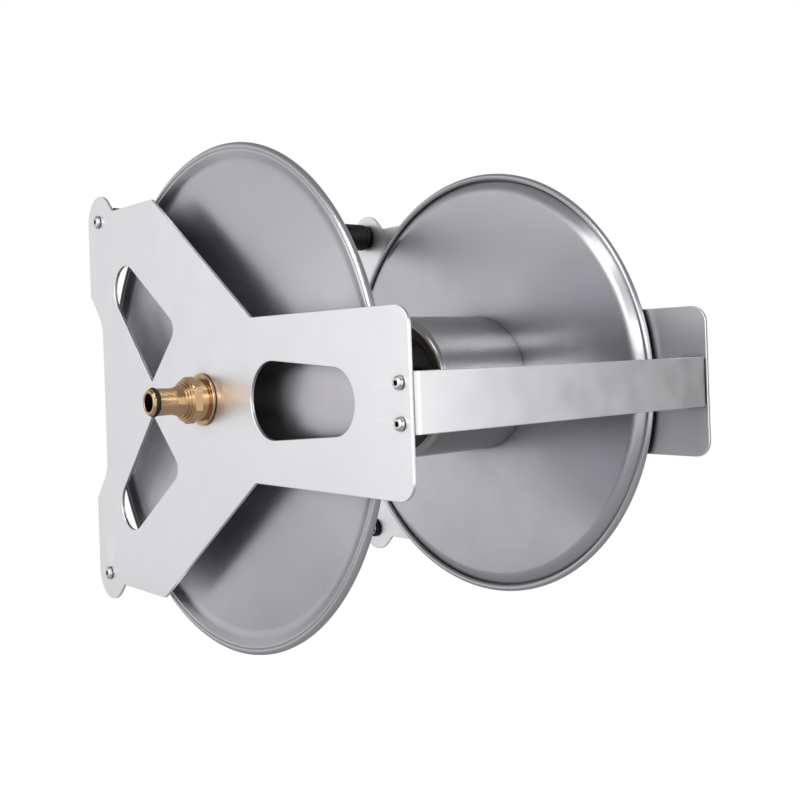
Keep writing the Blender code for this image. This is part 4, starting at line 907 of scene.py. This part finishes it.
def dress_carried_nodes():
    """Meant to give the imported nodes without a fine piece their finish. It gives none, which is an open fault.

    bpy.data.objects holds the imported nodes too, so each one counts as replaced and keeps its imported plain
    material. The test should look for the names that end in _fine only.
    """
    replaced = {item.name.removesuffix("_fine") for item in bpy.data.objects}
    for node, item in NODES.items():
        if node not in replaced:
            item.data.materials.clear()
            item.data.materials.append(FINISHES[SLOT_OF[node]])


add_side_plates()
add_front_bar()
add_sleeve()
add_lower_ears()
for half_name, half_side in SIDES:
    add_drum_half(half_name, half_side)
add_inlet()
add_crank()
add_grip()
dress_carried_nodes()


# ---------------------------------------------------------------- studio

FLOOR_DEPTH = 0.75           # below the drum's axis
WHITE = (1.0, 1.0, 1.0)
# Soft flags of the studio: where each one is, seen from the object, its level, and the cosines between which
# the white of the walls falls to that level
FLAGS = (
    (Vector((0.96, -0.28, 0.0)), 0.02, 0.78, 0.95),      # unlit side, mirrored by the front bar
    (Vector((0.0, 0.0, 1.0)), 0.30, 0.25, 0.60),         # ceiling
    (Vector((-0.20, 0.98, 0.0)), 0.68, 0.76, 1.00),      # wall behind, mirrored by the plates
)
WORLD_LIGHT = 0.55           # strength of the world where it only lights the object
FLOOR_GLOW = 0.62            # with its lit colour, this makes the floor white for the camera
FLOOR_GLOW_MIRRORED = 0.08   # the metal shows a floor that fades into the dark behind the camera
FLOOR_COLOUR = (0.85, 0.85, 0.85)
FLOOR_COLOUR_MIRRORED = (0.36, 0.36, 0.36)
FLOOR_HALF_SIZE = 1.8
# Soft boxes: place, size and watts, each aimed at the drum's axis
LAMPS = {
    "left_box": ((-1.9, -0.1, 0.5), (1.1, 1.3), 14.0),
    "front_box": ((-1.22, -1.37, 0.49), (0.5, 0.35), 3.4),
    "right_box": ((0.52, -2.08, 0.2), (1.0, 1.6), 8.0),
    "top_box": ((-1.16, -0.52, 1.19), (0.8, 0.15), 2.8),
}
LAMP_TARGET = Vector((0.0, -0.15, 0.0))
# Camera, found from the photo: it is almost level and its picture is shifted down
CAMERA_PLACE = (-0.42356, -0.69012, 0.02190)
CAMERA_AZIMUTH = math.radians(-40.2365)
CAMERA_ELEVATION = math.radians(0.009)
CAMERA_ROLL = math.radians(-1.9981)
CAMERA_LENS = 46.909
CAMERA_SENSOR = 36.0
CAMERA_SHIFT = (0.0022, -0.0558)


def add_maths(tree, operation, first, second):
    node = tree.nodes.new("ShaderNodeMath")
    node.operation = operation
    tree.links.new(first, node.inputs[0])
    tree.links.new(second, node.inputs[1])
    return node.outputs["Value"]


def mirrored(tree):
    """1 for rays that show the surroundings off metal or through glass."""
    light_path = tree.nodes.new("ShaderNodeLightPath")
    return add_maths(tree, "MAXIMUM", light_path.outputs["Is Glossy Ray"], light_path.outputs["Is Transmission Ray"])


def seen_directly(tree):
    """1 for rays that show the surroundings to the camera, straight or mirrored."""
    camera_ray = tree.nodes.new("ShaderNodeLightPath").outputs["Is Camera Ray"]
    return add_maths(tree, "MAXIMUM", mirrored(tree), camera_ray)


def add_world():
    world = bpy.data.worlds.new("studio")
    world.use_nodes = True
    tree = world.node_tree
    background = tree.nodes["Background"]
    strength = add_switch(tree, seen_directly(tree), WORLD_LIGHT, 1.0)
    tree.links.new(strength, background.inputs["Strength"])
    direction = tree.nodes.new("ShaderNodeTexCoord").outputs["Generated"]
    level = None
    for place, lowest, start, end in FLAGS:
        towards = tree.nodes.new("ShaderNodeVectorMath")
        towards.operation = "DOT_PRODUCT"
        towards.inputs[1].default_value = place.normalized()
        tree.links.new(direction, towards.inputs[0])
        flag = add_range(tree, towards.outputs["Value"], 1.0, lowest, start, end)
        level = flag if level is None else add_maths(tree, "MULTIPLY", level, flag)
    unflagged = add_switch(tree, mirrored(tree), 1.0, 0.0)
    tree.links.new(add_maths(tree, "MAXIMUM", level, unflagged), background.inputs["Color"])
    bpy.context.scene.world = world


def add_floor():
    bm = bmesh.new()
    bmesh.ops.create_grid(bm, x_segments=8, y_segments=8, size=FLOOR_HALF_SIZE)
    mesh = bpy.data.meshes.new("floor")
    bm.to_mesh(mesh)
    bm.free()
    floor = bpy.data.objects.new("floor", mesh)
    floor.location = (0.0, -WALL_REACH, -FLOOR_DEPTH)
    bpy.context.collection.objects.link(floor)
    material, tree, shader = start_material("pale_floor", 0.9, 0.0)
    tree.links.new(add_mix(tree, mirrored(tree), FLOOR_COLOUR, FLOOR_COLOUR_MIRRORED), shader.inputs["Base Color"])
    shader.inputs["Specular IOR Level"].default_value = 0.0
    shader.inputs["Emission Color"].default_value = (*WHITE, 1.0)
    camera_ray = tree.nodes.new("ShaderNodeLightPath").outputs["Is Camera Ray"]
    straight = add_switch(tree, camera_ray, 0.0, FLOOR_GLOW)
    off_metal = add_switch(tree, mirrored(tree), 0.0, FLOOR_GLOW_MIRRORED)
    tree.links.new(add_maths(tree, "MAXIMUM", straight, off_metal), shader.inputs["Emission Strength"])
    mesh.materials.append(material)


def add_lamp(name, place, size, power):
    light = bpy.data.lights.new(name, "AREA")
    light.shape = "RECTANGLE"
    light.size, light.size_y = size
    light.energy = power
    lamp = bpy.data.objects.new(name, light)
    lamp.location = place
    aim = LAMP_TARGET - Vector(place)
    lamp.rotation_euler = aim.to_track_quat("-Z", "Y").to_euler()
    bpy.context.collection.objects.link(lamp)


def add_camera():
    level = math.cos(CAMERA_ELEVATION)
    forward = Vector((-math.sin(CAMERA_AZIMUTH) * level, math.cos(CAMERA_AZIMUTH) * level,
                      -math.sin(CAMERA_ELEVATION)))
    level_right = forward.cross(Vector((0, 0, 1))).normalized()
    level_up = level_right.cross(forward)
    right = math.cos(CAMERA_ROLL) * level_right + math.sin(CAMERA_ROLL) * level_up
    up = -math.sin(CAMERA_ROLL) * level_right + math.cos(CAMERA_ROLL) * level_up
    camera_data = bpy.data.cameras.new("camera")
    camera_data.sensor_width = CAMERA_SENSOR
    camera_data.lens = CAMERA_LENS
    camera_data.shift_x, camera_data.shift_y = CAMERA_SHIFT
    camera = bpy.data.objects.new("camera", camera_data)
    camera.matrix_world = Matrix.Translation(CAMERA_PLACE) @ Matrix((right, up, -forward)).transposed().to_4x4()
    bpy.context.collection.objects.link(camera)
    bpy.context.scene.camera = camera


add_world()
add_floor()
for lamp_name, lamp in LAMPS.items():
    add_lamp(lamp_name, *lamp)
add_camera()
bpy.context.scene.view_settings.view_transform = "Standard"
